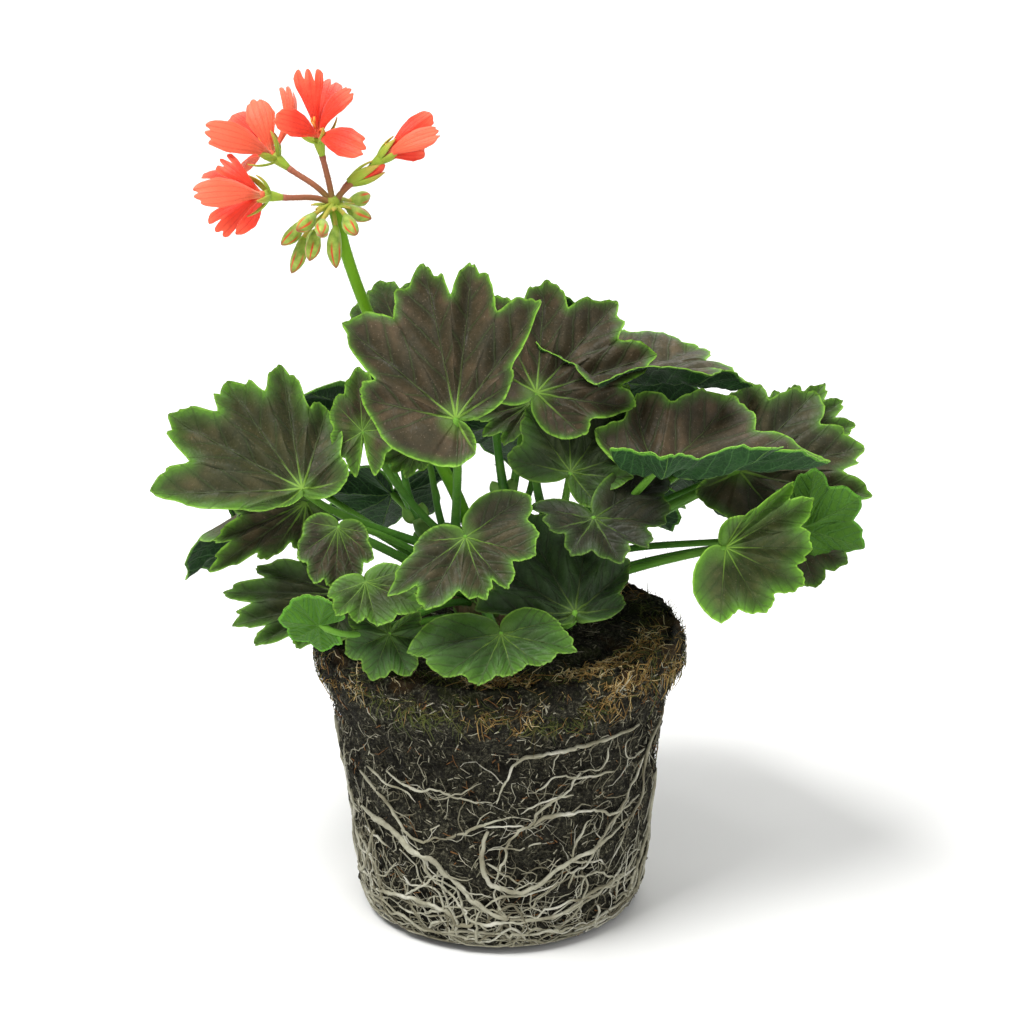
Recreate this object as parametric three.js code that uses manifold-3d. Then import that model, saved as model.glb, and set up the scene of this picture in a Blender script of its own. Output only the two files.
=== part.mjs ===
// A stellar zonal geranium knocked out of its pot: a root ball moulded by a 12 cm pot, a net of
// pale roots on its face, five short shoots, their leaves, and one umbel of coral flowers.
// Millimetres, +Z up. The origin is the centre of the flat base of the root ball.
// The viewer of the reference picture stands on the -Y side, with +X to the right.
import * as THREE from "three";
import Module from "manifold-3d";
import { mergeVertices } from "three/addons/utils/BufferGeometryUtils.js";

const wasm = await Module();
wasm.setup();

const rad = (degrees) => (degrees * Math.PI) / 180;

// Driving dimensions
const GAP = 0.3; // clearance between two pieces that touch
const BALL_PROFILE = [
  // [radius, height] of the root ball, from the middle of its base to the middle of its top
  [22, 0], [39, 0], [43.4, 2.2], [45.4, 10], [46.8, 22], [47.8, 34], [49, 46], [50.2, 58],
  [51.6, 68], [54.2, 75.5], [57.2, 81], [57.8, 88], [55, 92.6], [48, 92], [36, 90], [20, 90.5],
];
const BALL_TOP = 91;
const BALL_SIDES = 36;
const NOTCHES = 6; // places where the feet of the pot pressed into the bottom edge
const NOTCH = { wide: 15, high: 3, deep: 9 };
const BLADE = 0.8; // thickness of a leaf blade
const PETAL = 0.8; // thickness of a petal
const SMALL = 24; // a leaf with a middle lobe shorter than this is a small one

// Shoots: woody at the foot, green at the top. Each is a list of points with a radius.
const SHOOTS = [
  { path: [[-1, -1, 70], [-4, -3, 92], [-9, -6, 108], [-14, -8, 126]], thick: [4.4, 4.2, 3.6, 2.6] },
  { path: [[1, -1, 70], [7, -2, 92], [14, -4, 106], [19, -4, 124]], thick: [4, 3.8, 3.3, 2.4] },
  { path: [[0, 1, 70], [0, 9, 93], [0, 15, 108], [2, 21, 128]], thick: [4, 3.7, 3.2, 2.4] },
  { path: [[1, 1, 70], [9, 5, 92], [20, 8, 106], [29, 11, 124]], thick: [4, 3.6, 3.1, 2.3] },
  { path: [[-1, 1, 70], [-8, 4, 92], [-17, 6, 106], [-25, 8, 124]], thick: [4, 3.6, 3.1, 2.3] },
];

// Half of a leaf's outline, as [angle from the middle lobe in degrees, reach as a share of the size].
const HALF_OUTLINE = [
  [0, 1.0], [11, 0.84], [17, 0.87], [25, 0.66], [33, 0.84], [47, 0.95], [53, 0.86], [60, 0.87],
  [75, 0.62], [83, 0.79], [99, 0.91], [106, 0.79], [113, 0.79], [125, 0.58], [136, 0.69],
  [147, 0.75], [156, 0.56], [167, 0.27], [180, 0.08],
];

// The eye of the reference view, its downward tilt, and the scale and centre of its picture plane.
const EYE = { back: 820, up: 418, tilt: 18.1, scale: 2066, across: 486, down: 631 };

// A point on a sight line of the reference view: across and down the view, and how far it lies
// behind the middle of the root ball.
function sight(across, down, depth) {
  const tilt = rad(EYE.tilt);
  const a = (across - EYE.across) / EYE.scale;
  const b = (EYE.down - down) / EYE.scale;
  const t = (depth + EYE.back) / (Math.cos(tilt) + b * Math.sin(tilt));
  return [t * a, depth, EYE.up + t * (b * Math.cos(tilt) - Math.sin(tilt))];
}

// Leaves: `at` is where the petiole meets the blade. face is the heading and the rise of the blade's
// normal in degrees (heading 0 is +X, -90 is towards the viewer). tips are the seven lobes, from the
// left basal one round to the right basal one, as [direction, length in mm], with the direction in
// degrees counter-clockwise from the right as seen facing the blade. A plain leaf has spin and size
// instead: the direction of its middle lobe and its length. cup bends the blade across, curl its
// outer half, back its basal half, and fold closes it like a book. cut is the depth of the notches
// between the lobes, and a coarse leaf is built from fewer points.
const LEAVES = [
  { at: sight(454, 611, -42), face: [-90, 22], cup: 0.3, curl: -0.1, back: 1.2,
    tips: [[299, 12], [168, 28], [139.5, 43], [101.5, 47], [84, 46], [53, 42], [33, 19]] },
  { at: sight(342, 662, -28), face: [-85, 36], cup: 0.1,
    tips: [[215, 9], [180, 45], [148, 46], [122, 41], [97, 40], [72, 27], [12, 14]] },
  { at: sight(513, 592, -12), face: [-95, 28], cup: 0.1,
    tips: [[150, 30], [118, 33], [88, 34], [52, 37], [20, 38], [-8, 30], [-42, 20]] },
  { at: sight(568, 577, 12), coarse: true, face: [-90, 97], spin: 0, size: 44, cup: 0.2, back: 1.6 },
  { at: sight(603, 645, -30), face: [-90, 88], cup: 1.7, back: 1.6,
    tips: [[150, 24], [107, 30], [55, 40], [8, 52], [-39, 40], [-91, 30], [-139, 26]] },
  { at: sight(555, 683, -38), face: [-85, 62], cup: -0.3,
    tips: [[400, 34], [362, 22], [322, 19], [290, 19], [236, 15], [195, 14], [160, 20]] },
  { at: sight(538, 650, -22), coarse: true, face: [-95, 35], cup: 0.1,
    tips: [[168, 20], [127, 24], [95, 30], [60, 33], [22, 20], [-5, 19], [-50, 14]] },
  { at: sight(461, 697, -46), face: [-85, 45], cup: -0.2,
    tips: [[396, 25], [344, 21], [306, 20], [285, 20], [240, 26], [215, 29], [180, 14]] },
  { at: sight(541, 752, -42), face: [-90, 50], cup: 0.1,
    tips: [[200, 11], [178, 30], [146, 36], [115, 38], [82, 34], [45, 24], [8, 15]] },
  { at: sight(487, 768, -52), face: [-90, 60], cup: -0.2, curl: -0.2, cut: 0.4,
    tips: [[382, 18], [351, 23], [318, 16], [284, 14], [248, 18], [218, 22], [187, 28]] },
  { at: sight(651, 705, -28), face: [-92, 22], cup: 0.2, cut: 0.6,
    tips: [[60, 11], [46, 28], [30, 30], [0, 26], [-25, 26], [-60, 23], [-94, 23]] },
  { at: sight(661, 649, 4), coarse: true, face: [-92, 35], cup: 0.1,
    tips: [[130, 20], [85, 28], [48, 36], [12, 40], [-12, 41], [-50, 26], [-155, 15]] },
  { at: sight(692, 625, 18), face: [-90, 35],
    tips: [[130, 12], [98, 16], [76, 18], [52, 23], [32, 23], [10, 24], [-14, 21]] },
  { at: sight(707, 690, -12), face: [95, 12], spin: 200, size: 21, cup: 0.5 },
  { at: sight(704, 699, -6), face: [-90, 30], spin: -25, size: 17 },
  { at: sight(345, 672, -14), coarse: true, face: [-95, 30],
    tips: [[300, 12], [262, 14], [238, 20], [217, 37], [204, 30], [185, 22], [160, 14]] },
  { at: sight(368, 690, -34), face: [-90, 25], cut: 0.5,
    tips: [[350, 9], [320, 14], [290, 17], [268, 19], [245, 18], [215, 15], [170, 10]] },
  { at: sight(372, 738, -26), coarse: true, face: [-90, 40],
    tips: [[262, 16], [235, 22], [212, 31], [196, 35], [178, 37], [160, 28], [130, 15]] },
  { at: sight(388, 730, -44), face: [-90, 45], cut: 0.5,
    tips: [[20, 12], [-10, 17], [-25, 19], [-75, 14], [-100, 13], [-128, 14], [-160, 12]] },
  { at: sight(386, 620, -16), face: [-100, 25], fold: 20,
    tips: [[265, 14], [215, 10], [140, 13], [99, 20], [60, 18], [8, 14], [-71, 14]] },
  { at: sight(427, 630, -6), face: [-90, 20],
    tips: [[280, 8], [250, 11], [225, 12], [205, 13], [185, 13], [160, 10], [120, 6]] },
  { at: sight(354, 761, -46), face: [80, 20], spin: 10, size: 12, cut: 0.4 },
  { at: sight(508, 600, 18), face: [-90, 40],
    tips: [[270, 12], [240, 16], [215, 18], [195, 18], [170, 16], [140, 14], [100, 10]] },
  { at: sight(412, 545, 16), face: [-95, 35], spin: 115, size: 17 },
  { at: sight(405, 768, -44), face: [-90, 35], spin: 250, size: 15 },
  { at: [-46, 46, 152], face: [120, 52], spin: 250, size: 42, cup: -0.3 },
  { at: [8, 68, 140], face: [88, 48], spin: 275, size: 42, cup: 0.2 },
  { at: [36, 52, 150], face: [68, 55], spin: 265, size: 42, cup: -0.2 },
  { at: [72, 34, 128], face: [30, 45], spin: 290, size: 36, cup: 0.3 },
  { at: [-74, 22, 126], face: [160, 42], spin: 260, size: 38, cup: -0.2 },
  { at: [-4, 50, 174], face: [95, 60], spin: 265, size: 36, cup: 0.2 },
  { at: [-36, 68, 112], face: [110, 40], spin: 270, size: 27, cup: 0.2 },
  { at: [42, 72, 112], face: [60, 36], spin: 285, size: 25, cup: -0.2 },
  { at: [-66, 54, 122], face: [138, 40], spin: 265, size: 28, cup: 0.2 },
  { at: [62, 62, 122], face: [42, 40], spin: 270, size: 28, cup: -0.2 },
].map((leaf, i) => ({
  name: "leaf_" + String(i + 1).padStart(2, "0"),
  cup: 0, curl: 0, back: 0, fold: 5, wave: 0.05, phase: 1.7 * i, cut: 0.8,
  coarse: i >= 25,
  ...leaf,
}));

// Small helpers
const vec = (p) => new THREE.Vector3(...p);

// A geometry from points and triangles.
function geometryOf(points, triangles) {
  const geometry = new THREE.BufferGeometry();
  geometry.setAttribute("position", new THREE.Float32BufferAttribute(points.flat(), 3));
  geometry.setIndex(triangles.flat());
  return geometry;
}

// A closed geometry as a solid, for joining and cutting.
function solid(geometry) {
  const bare = geometry.clone();
  bare.deleteAttribute("normal");
  bare.deleteAttribute("uv");
  const merged = mergeVertices(bare, 1e-4);
  return new wasm.Manifold(
    new wasm.Mesh({
      numProp: 3,
      vertProperties: new Float32Array(merged.attributes.position.array),
      triVerts: new Uint32Array(merged.index.array),
    }),
  );
}

// A closed tube through points, with a radius at each; grow makes it thicker all round.
function tube(points, radii, sides, grow = 0) {
  const at = points.map((p) => (p.isVector3 ? p.clone() : vec(p)));
  const n = at.length;
  at[0].addScaledVector(at[0].clone().sub(at[1]).normalize(), grow);
  at[n - 1].addScaledVector(at[n - 1].clone().sub(at[n - 2]).normalize(), grow);
  const rings = [];
  let side = new THREE.Vector3(0.31, 0.95, 0.05);
  at.forEach((p, i) => {
    const along = at[Math.min(i + 1, n - 1)].clone().sub(at[Math.max(i - 1, 0)]).normalize();
    side = side.clone().sub(along.clone().multiplyScalar(side.dot(along))).normalize();
    const other = along.clone().cross(side);
    const r = radii[i] + grow;
    for (let k = 0; k < sides; k++) {
      const a = (2 * Math.PI * k) / sides;
      rings.push(
        p.clone().addScaledVector(side, r * Math.cos(a)).addScaledVector(other, r * Math.sin(a)).toArray(),
      );
    }
  });
  const triangles = [];
  for (let i = 0; i < at.length - 1; i++)
    for (let k = 0; k < sides; k++) {
      const a = i * sides + k;
      const b = i * sides + ((k + 1) % sides);
      triangles.push([a, b, b + sides], [a, b + sides, a + sides]);
    }
  const last = (at.length - 1) * sides;
  for (let k = 1; k < sides - 1; k++) {
    triangles.push([0, k + 1, k], [last, last + k, last + k + 1]);
  }
  return solid(geometryOf(rings, triangles));
}

// Points spread evenly along a smooth curve through the given ones.
function smooth(points, count) {
  return new THREE.CatmullRomCurve3(points.map(vec), false, "centripetal").getPoints(count - 1);
}

// Radii spread along the same number of points.
function taper(radii, count) {
  return Array.from({ length: count }, (_, i) => {
    const u = (i / (count - 1)) * (radii.length - 1);
    const k = Math.min(Math.floor(u), radii.length - 2);
    return radii[k] + (radii[k + 1] - radii[k]) * (u - k);
  });
}

// A value read off a list of [place, value] pairs, in straight lines between them.
function readOff(pairs, place) {
  const k = Math.min(Math.max(1, pairs.findIndex((p) => p[0] >= place)), pairs.length - 1);
  const [[x0, y0], [x1, y1]] = [pairs[k - 1], pairs[k]];
  return y0 + ((y1 - y0) * (place - x0)) / (x1 - x0);
}

// The seven lobes of a plain leaf: their angles from the middle lobe, and their shares of the size.
const LOBES = [-147, -99, -47, 0, 47, 99, 147];
const PLAIN = [0.75, 0.91, 0.95, 1, 0.95, 0.91, 0.75];

// The direction and the reach of a leaf's edge at an angle of the plain outline.
function edge(leaf, angle) {
  const tips = leaf.tips ?? LOBES.map((a, i) => [leaf.spin - a, PLAIN[i] * leaf.size]);
  const gap = (tips[0][0] + tips[6][0] + 360) / 2;
  const turns = [[-180, gap], ...LOBES.map((a, i) => [a, tips[i][0]]), [180, gap - 360]];
  const lengths = LOBES.map((a, i) => [a, tips[i][1] / PLAIN[i]]);
  const grows = [[-180, lengths[0][1]], ...lengths, [180, lengths[6][1]]];
  const beyond = Math.abs(angle) >= LOBES[6];
  const plain = readOff(HALF_OUTLINE, Math.abs(angle));
  const full = beyond ? plain : readOff(LOBES.slice(3).map((a, i) => [a, PLAIN[i + 3]]), Math.abs(angle));
  const reach = plain < full ? full - (full - plain) * leaf.cut : plain;
  return { turn: readOff(turns, angle), reach: readOff(grows, angle) * reach };
}

// One point of a blade in the world: angle on the plain outline, share of the reach, lift off the
// middle face in mm.
function bladePoint(leaf, angle, share, lift) {
  const { turn, reach } = edge(leaf, angle);
  const size = edge(leaf, 0).reach;
  const t = rad(edge(leaf, 0).turn - turn);
  const r = (reach / size) * share;
  const x = r * Math.sin(t);
  const y = r * Math.cos(t);
  const pleat = -0.045 * r * Math.cos((2 * Math.PI * angle) / 49);
  const ripple = leaf.wave * share * share * Math.sin(3 * t + leaf.phase);
  // the book fold about the middle vein
  const f = rad(leaf.fold);
  const open = Math.sqrt(x * x + 0.01) - 0.1;
  const x1 = x * Math.cos(f);
  const z1 = pleat + ripple + open * Math.sin(f) + lift / size;
  // the bend across, then the bend along, which differs in front of the petiole and behind it
  const [x2, z2] = bend(x1, z1, leaf.cup);
  const [y2, z3] = bend(y, z2, y > 0 ? leaf.curl : leaf.back);
  const { side, ahead, up } = leafAxes(leaf);
  return vec(leaf.at)
    .addScaledVector(side, size * x2)
    .addScaledVector(ahead, size * y2)
    .addScaledVector(up, size * z3);
}

// A strip bent to a curvature: where a point at distance d and height h goes.
function bend(d, h, curvature) {
  if (Math.abs(curvature) < 1e-4) return [d, h];
  const a = curvature * d;
  return [Math.sin(a) / curvature - h * Math.sin(a), (1 - Math.cos(a)) / curvature + h * Math.cos(a)];
}

// The directions of a leaf: ahead along its middle vein, up off its upper face, and to its side.
function leafAxes(leaf) {
  const [h, e, spin] = [rad(leaf.face[0]), rad(leaf.face[1]), rad(edge(leaf, 0).turn)];
  const up = new THREE.Vector3(Math.cos(e) * Math.cos(h), Math.cos(e) * Math.sin(h), Math.sin(e));
  const uphill = new THREE.Vector3(-Math.sin(e) * Math.cos(h), -Math.sin(e) * Math.sin(h), Math.cos(e));
  const right = uphill.clone().cross(up);
  const ahead = right.clone().multiplyScalar(Math.cos(spin)).addScaledVector(uphill, Math.sin(spin));
  return { ahead, up, side: ahead.clone().cross(up) };
}

// The plain angles of a ring round a blade, from one half of it.
const both = (half) => [...half.slice(1).reverse().map((a) => -a), ...half.filter((a) => a < 180)];
const FINE_RING = both(HALF_OUTLINE.map((p) => p[0]));
const LOBE_RING = both([0, 25, 47, 75, 99, 125, 147, 167, 180]);
const INNER_RING = both([0, 47, 99, 147, 180]);
const NARROW_RING = both([0, 75, 147, 180]);

// Triangles between two rings of points, walking round both by their angles.
function zip(outer, outerAt, inner, innerAt) {
  const triangles = [];
  let i = 0;
  let k = 0;
  while (i < outer.length || k < inner.length) {
    const nextOuter = i + 1 < outer.length ? outer[i + 1] : outer[0] + 360;
    const nextInner = k + 1 < inner.length ? inner[k + 1] : inner[0] + 360;
    const a = outerAt + (i % outer.length);
    const b = innerAt + (k % inner.length);
    if (i < outer.length && (k >= inner.length || nextOuter <= nextInner)) {
      triangles.push([a, b, outerAt + ((i + 1) % outer.length)]);
      i++;
    } else {
      triangles.push([a, b, innerAt + ((k + 1) % inner.length)]);
      k++;
    }
  }
  return triangles;
}

// The closed solid of one blade; grow makes it larger all round.
function bladeSolid(leaf, grow = 0) {
  const size = edge(leaf, 0).reach;
  const coarse = leaf.coarse || size < SMALL;
  const rings = coarse ? [LOBE_RING, NARROW_RING] : [FINE_RING, LOBE_RING, INNER_RING];
  const shares = coarse ? [1, 0.5] : [1, 0.62, 0.3];
  const points = [];
  const triangles = [];
  for (const face of [1, -1]) {
    const start = points.length;
    const lift = face * (BLADE / 2 + grow);
    rings.forEach((ring, k) => {
      const share = shares[k] + (k === 0 ? grow / (0.5 * size) : 0);
      for (const angle of ring) points.push(bladePoint(leaf, angle, share, lift).toArray());
    });
    points.push(bladePoint(leaf, 0, 0, lift).toArray());
    let at = start;
    const faces = [];
    for (let k = 0; k + 1 < rings.length; k++) {
      faces.push(...zip(rings[k], at, rings[k + 1], at + rings[k].length));
      at += rings[k].length;
    }
    const last = rings[rings.length - 1].length;
    for (let k = 0; k < last; k++) faces.push([at + k, at + last, at + ((k + 1) % last)]);
    triangles.push(...faces.map(([a, b, c]) => (face > 0 ? [a, b, c] : [a, c, b])));
  }
  const half = points.length / 2;
  const n = rings[0].length;
  for (let k = 0; k < n; k++) {
    const m = (k + 1) % n;
    triangles.push([k, m, half + m], [k, half + m, half + k]);
  }
  return solid(geometryOf(points, triangles));
}

// Points along a bent stalk from a foot to a head, leaving in one direction and arriving in another.
function arc(foot, leaving, arriving, head, count) {
  const curve = new THREE.CubicBezierCurve3(foot, foot.clone().add(leaving), head.clone().sub(arriving), head);
  return curve.getPoints(count - 1);
}

// A point on the middle line of a shoot.
function onShoot(shoot, share) {
  return new THREE.CatmullRomCurve3(SHOOTS[shoot].path.map(vec), false, "centripetal").getPointAt(share);
}

// The middle line of a leaf's petiole, from inside its shoot to the underside of the blade.
function petioleLine(leaf) {
  const foot = onShoot(...leaf.foot);
  const head = bladePoint(leaf, 0, 0, 0);
  const { ahead, up } = leafAxes(leaf);
  const out = head.clone().sub(foot);
  const length = out.length();
  const leaving = out.clone().setZ(0).setLength(0.28 * length);
  leaving.z = 0.2 * length;
  const arriving = up.clone().multiplyScalar(0.75).addScaledVector(ahead, 0.45);
  arriving.addScaledVector(out.normalize(), 0.7).setLength(0.33 * length);
  return arc(foot, leaving, arriving, head, 7);
}

// A leaf: its blade and its petiole.
function leafSolid(leaf, grow = 0) {
  const thick = edge(leaf, 0).reach < SMALL ? [1.2, 0.9] : [1.6, 1.1];
  const stalk = tube(petioleLine(leaf), taper(thick, 7), 4, grow);
  return bladeSolid(leaf, grow).add(stalk);
}

// The leaves of each shoot stand on it in the order of their height.
SHOOTS.forEach((shoot, s) => {
  const own = LEAVES.filter((leaf) => nearestShoot(leaf) === s).sort((a, b) => a.at[2] - b.at[2]);
  own.forEach((leaf, k) => {
    leaf.foot = [s, 0.4 + (0.57 * k) / Math.max(1, own.length - 1)];
  });
});

// The number of the shoot whose top lies nearest to a leaf, seen from above.
function nearestShoot(leaf) {
  const [x, y] = leaf.at;
  const far = SHOOTS.map(({ path }) => Math.hypot(x - path[3][0], y - path[3][1]));
  return far.indexOf(Math.min(...far));
}

// All the shoots, which meet in the soil.
function stemSolid(grow = 0) {
  return wasm.Manifold.union(SHOOTS.map(({ path, thick }) => tube(smooth(path, 6), taper(thick, 6), 6, grow)));
}

// How far the moulded face of the root ball stands out at an azimuth and a height.
function bump(azimuth, height) {
  const t = rad(azimuth);
  const slow = Math.sin(3 * t + height / 17) + 0.6 * Math.sin(2 * t + height / 14 + 1);
  return 0.4 * (slow + 0.5 * Math.sin(5 * t - height / 13 + 2));
}

// A point of the ball's side, standing out from it by a distance.
function onSide(azimuth, height, out = 0) {
  const r = readOff(BALL_PROFILE.slice(2, 12).map(([x, z]) => [z, x]), height) + bump(azimuth, height) + out;
  return new THREE.Vector3(r * Math.cos(rad(azimuth)), r * Math.sin(rad(azimuth)), height);
}

// The whole ball: a turned shape with an uneven face.
function ballSolid(grow = 0) {
  const points = [];
  const triangles = [];
  const step = 360 / BALL_SIDES;
  BALL_PROFILE.forEach(([radius, height], row) => {
    for (let k = 0; k < BALL_SIDES; k++) {
      const azimuth = k * step;
      const swell = row < 2 ? 0 : bump(azimuth, height);
      const onTop = row > 12;
      const r = radius + (onTop ? 0 : swell) + (row > 1 ? grow : 0);
      const z = height + (onTop ? 0.9 * swell + grow : 0) - (row < 2 ? grow : 0);
      points.push([r * Math.cos(rad(azimuth)), r * Math.sin(rad(azimuth)), z]);
    }
  });
  const rows = BALL_PROFILE.length;
  for (let row = 0; row + 1 < rows; row++)
    for (let k = 0; k < BALL_SIDES; k++) {
      const a = row * BALL_SIDES + k;
      const b = row * BALL_SIDES + ((k + 1) % BALL_SIDES);
      triangles.push([a, b, b + BALL_SIDES], [a, b + BALL_SIDES, a + BALL_SIDES]);
    }
  const bottom = points.length;
  points.push([0, 0, -grow], [0, 0, BALL_TOP + grow]);
  const last = (rows - 1) * BALL_SIDES;
  for (let k = 0; k < BALL_SIDES; k++) {
    const m = (k + 1) % BALL_SIDES;
    triangles.push([bottom, m, k], [bottom + 1, last + k, last + m]);
  }
  return solid(geometryOf(points, triangles));
}

// A block between two radii, square to an azimuth.
function block(azimuth, near, far, wide, low, high) {
  const c = Math.cos(rad(azimuth));
  const d = Math.sin(rad(azimuth));
  const points = [];
  for (const z of [low, high])
    for (const [r, w] of [[near, -wide / 2], [far, -wide / 2], [far, wide / 2], [near, wide / 2]]) {
      points.push([r * c - w * d, r * d + w * c, z]);
    }
  const triangles = [[0, 2, 1], [0, 3, 2], [4, 5, 6], [4, 6, 7]];
  for (let k = 0; k < 4; k++) {
    const m = (k + 1) % 4;
    triangles.push([k, m, m + 4], [k, m + 4, k + 4]);
  }
  return solid(geometryOf(points, triangles));
}

// Roots on the ball: each is a list of [azimuth, height] with a half width. They cross and hold
// together as one net, and stand a little off the ball.
const ROOTS = [
  { at: ringAt(7, 1.5), wide: 1 },
  { at: [[-62, 62], [-74, 50], [-86, 42], [-92, 32], [-93, 20], [-84, 7]], wide: 1.2 },
  { at: [[-128, 40], [-114, 26], [-104, 15], [-96, 7], [-84, 6]], wide: 1.1 },
  { at: [[-64, 32], [-76, 20], [-88, 13], [-104, 6]], wide: 1.1 },
  { at: [[-24, 15], [-50, 17], [-76, 14], [-102, 17], [-128, 15], [-150, 18]], wide: 0.8 },
  { at: [[-150, 54], [-138, 38], [-124, 24], [-110, 15], [-100, 12]], wide: 0.9 },
  { at: [[-30, 58], [-44, 42], [-58, 30], [-70, 22], [-84, 14]], wide: 1 },
  { at: [[-30, 26], [-52, 28], [-78, 26], [-104, 30], [-126, 26]], wide: 0.8 },
  { at: [[-8, 46], [-14, 30], [-24, 18], [-32, 7]], wide: 1 },
  { at: [[20, 62], [10, 46], [2, 28], [-8, 15], [-14, 7]], wide: 1.1 },
  { at: [[52, 40], [40, 28], [26, 16], [12, 7]], wide: 1 },
  { at: [[78, 66], [70, 48], [64, 30], [54, 16], [40, 7]], wide: 1.2 },
  { at: [[104, 42], [94, 30], [86, 16], [74, 7]], wide: 1 },
  { at: [[134, 58], [124, 42], [116, 26], [104, 14], [96, 7]], wide: 1.1 },
  { at: [[160, 40], [148, 28], [138, 15], [124, 7]], wide: 1 },
  { at: [[188, 64], [180, 46], [172, 28], [160, 14], [150, 7]], wide: 1.2 },
  { at: [[216, 34], [206, 22], [196, 14], [182, 7]], wide: 1 },
  { at: [[-6, 24], [20, 30], [44, 22], [72, 28], [98, 22]], wide: 0.8 },
];

// A root all the way round the ball near one height.
function ringAt(height, sway) {
  return Array.from({ length: 28 }, (_, k) => {
    const turn = k / 27;
    return [360 * turn, height + sway * Math.sin(k * 1.3) * Math.sin(Math.PI * turn)];
  });
}

// One root as a low strip over the face of the ball.
function rootSolid(root) {
  const line = [];
  root.at.slice(1).forEach(([az1, z1], i) => {
    const [az0, z0] = root.at[i];
    const steps = Math.max(1, Math.round(Math.hypot((az1 - az0) * 0.85, z1 - z0) / 13));
    for (let k = i === 0 ? 0 : 1; k <= steps; k++) {
      const u = k / steps;
      line.push([az0 + (az1 - az0) * u, z0 + (z1 - z0) * u]);
    }
  });
  const points = [];
  line.forEach(([azimuth, height], i) => {
    const [az0, z0] = line[Math.max(i - 1, 0)];
    const [az1, z1] = line[Math.min(i + 1, line.length - 1)];
    const length = Math.hypot((az1 - az0) * 0.85, z1 - z0);
    const turn = [(-(z1 - z0) / length) / 0.85, ((az1 - az0) * 0.85) / length];
    for (const [across, out] of [[-1, 0.72], [0, 2], [1, 0.72]]) {
      const w = across * root.wide;
      points.push(onSide(azimuth + turn[0] * w, height + turn[1] * w, out).toArray());
    }
  });
  const triangles = [];
  for (let i = 0; i + 1 < line.length; i++)
    for (let k = 0; k < 3; k++) {
      const a = 3 * i + k;
      const b = 3 * i + ((k + 1) % 3);
      triangles.push([a, b + 3, b], [a, a + 3, b + 3]);
    }
  const last = 3 * (line.length - 1);
  triangles.push([0, 1, 2], [last, last + 2, last + 1]);
  return solid(geometryOf(points, triangles));
}

// A pad of moss and fibre over the front of the soil and its rim.
function mossSolid() {
  const rows = [11, 12, 13, 14]; // of the ball's profile
  const from = 20; // the first and the last of the ball's sides that it covers
  const to = 34;
  const step = 360 / BALL_SIDES;
  const points = [];
  for (const lift of [0.35, 1.6])
    for (const row of rows)
      for (let k = from; k <= to; k++) {
        const azimuth = k * step;
        const swell = bump(azimuth, BALL_PROFILE[row][1]);
        const onTop = row > 12;
        const r = BALL_PROFILE[row][0] + (onTop ? 0 : swell + Math.min(lift, 1.2));
        const tuft = lift > 1 ? 0.8 * Math.sin(k * 2.1 + row * 1.7) : 0;
        const z = BALL_PROFILE[row][1] + (onTop ? 0.9 * swell : 0) + (row > 11 ? lift + tuft : 0);
        points.push([r * Math.cos(rad(azimuth)), r * Math.sin(rad(azimuth)), z]);
      }
  const wide = to - from + 1;
  const half = points.length / 2;
  const triangles = [];
  for (let row = 0; row + 1 < rows.length; row++)
    for (let k = 0; k + 1 < wide; k++) {
      const a = row * wide + k;
      triangles.push([a, a + wide, a + wide + 1], [a, a + wide + 1, a + 1]);
      const b = half + a;
      triangles.push([b, b + wide + 1, b + wide], [b, b + 1, b + wide + 1]);
    }
  const count = (n, rule) => Array.from({ length: n }, (_, k) => rule(k));
  const rim = [
    ...count(wide - 1, (k) => k),
    ...count(rows.length - 1, (k) => k * wide + wide - 1),
    ...count(wide - 1, (k) => rows.length * wide - 1 - k),
    ...count(rows.length - 1, (k) => (rows.length - 1 - k) * wide),
  ];
  rim.forEach((a, i) => {
    const b = rim[(i + 1) % rim.length];
    triangles.push([a, b, half + b], [a, half + b, half + a]);
  });
  return solid(geometryOf(points, triangles));
}

// The umbel: a stalk, its branches, their calyxes and buds, and the flowers
const HUB = sight(365, 454, -15);
const STALK = [
  sight(470, 708, -4), sight(456, 670, -6), sight(437, 632, -9), sight(415, 585, -12),
  sight(390, 533, -14), sight(375, 492, -15), HUB,
];

// Each flower: where its petals meet, then each petal's tip, its half width and the way it bows.
const FORWARD = [0, -1, 0.5];
const OVER = [0, -1, 4];
const ASIDE = [2, 0, 2];
const FLOWERS = [
  { name: "flower_left", at: sight(314, 448, -24),
    petals: [
      [sight(263, 447, -38), 5, FORWARD], [sight(277, 473, -32), 5, FORWARD], [sight(282, 421, -22), 4, FORWARD],
      [sight(270, 430, -10), 4.5, OVER], [sight(292, 474, -14), 4.5, ASIDE],
    ] },
  { name: "flower_back", at: sight(321, 419, -10),
    petals: [
      [sight(272, 400, -24), 5, FORWARD], [sight(308, 377, -4), 5, FORWARD], [sight(335, 369, 4), 4, ASIDE],
      [sight(298, 430, 4), 4, OVER], [sight(290, 388, 10), 4.5, FORWARD],
    ] },
  { name: "flower_top", at: sight(354, 405, -18),
    petals: [
      [sight(346, 354, -16), 5, FORWARD], [sight(379, 370, -20), 4.5, [1, -0.5, 2]],
      [sight(387, 414, -34), 5, FORWARD], [sight(324, 391, -30), 4.5, FORWARD], [sight(364, 362, 2), 4.5, FORWARD],
    ] },
  { name: "flower_right", at: sight(402, 420, -12),
    petals: [
      [sight(438, 388, -8), 3.6, FORWARD], [sight(443, 402, -16), 3.6, FORWARD], [sight(433, 416, -10), 3.2, FORWARD],
    ] },
];

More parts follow.
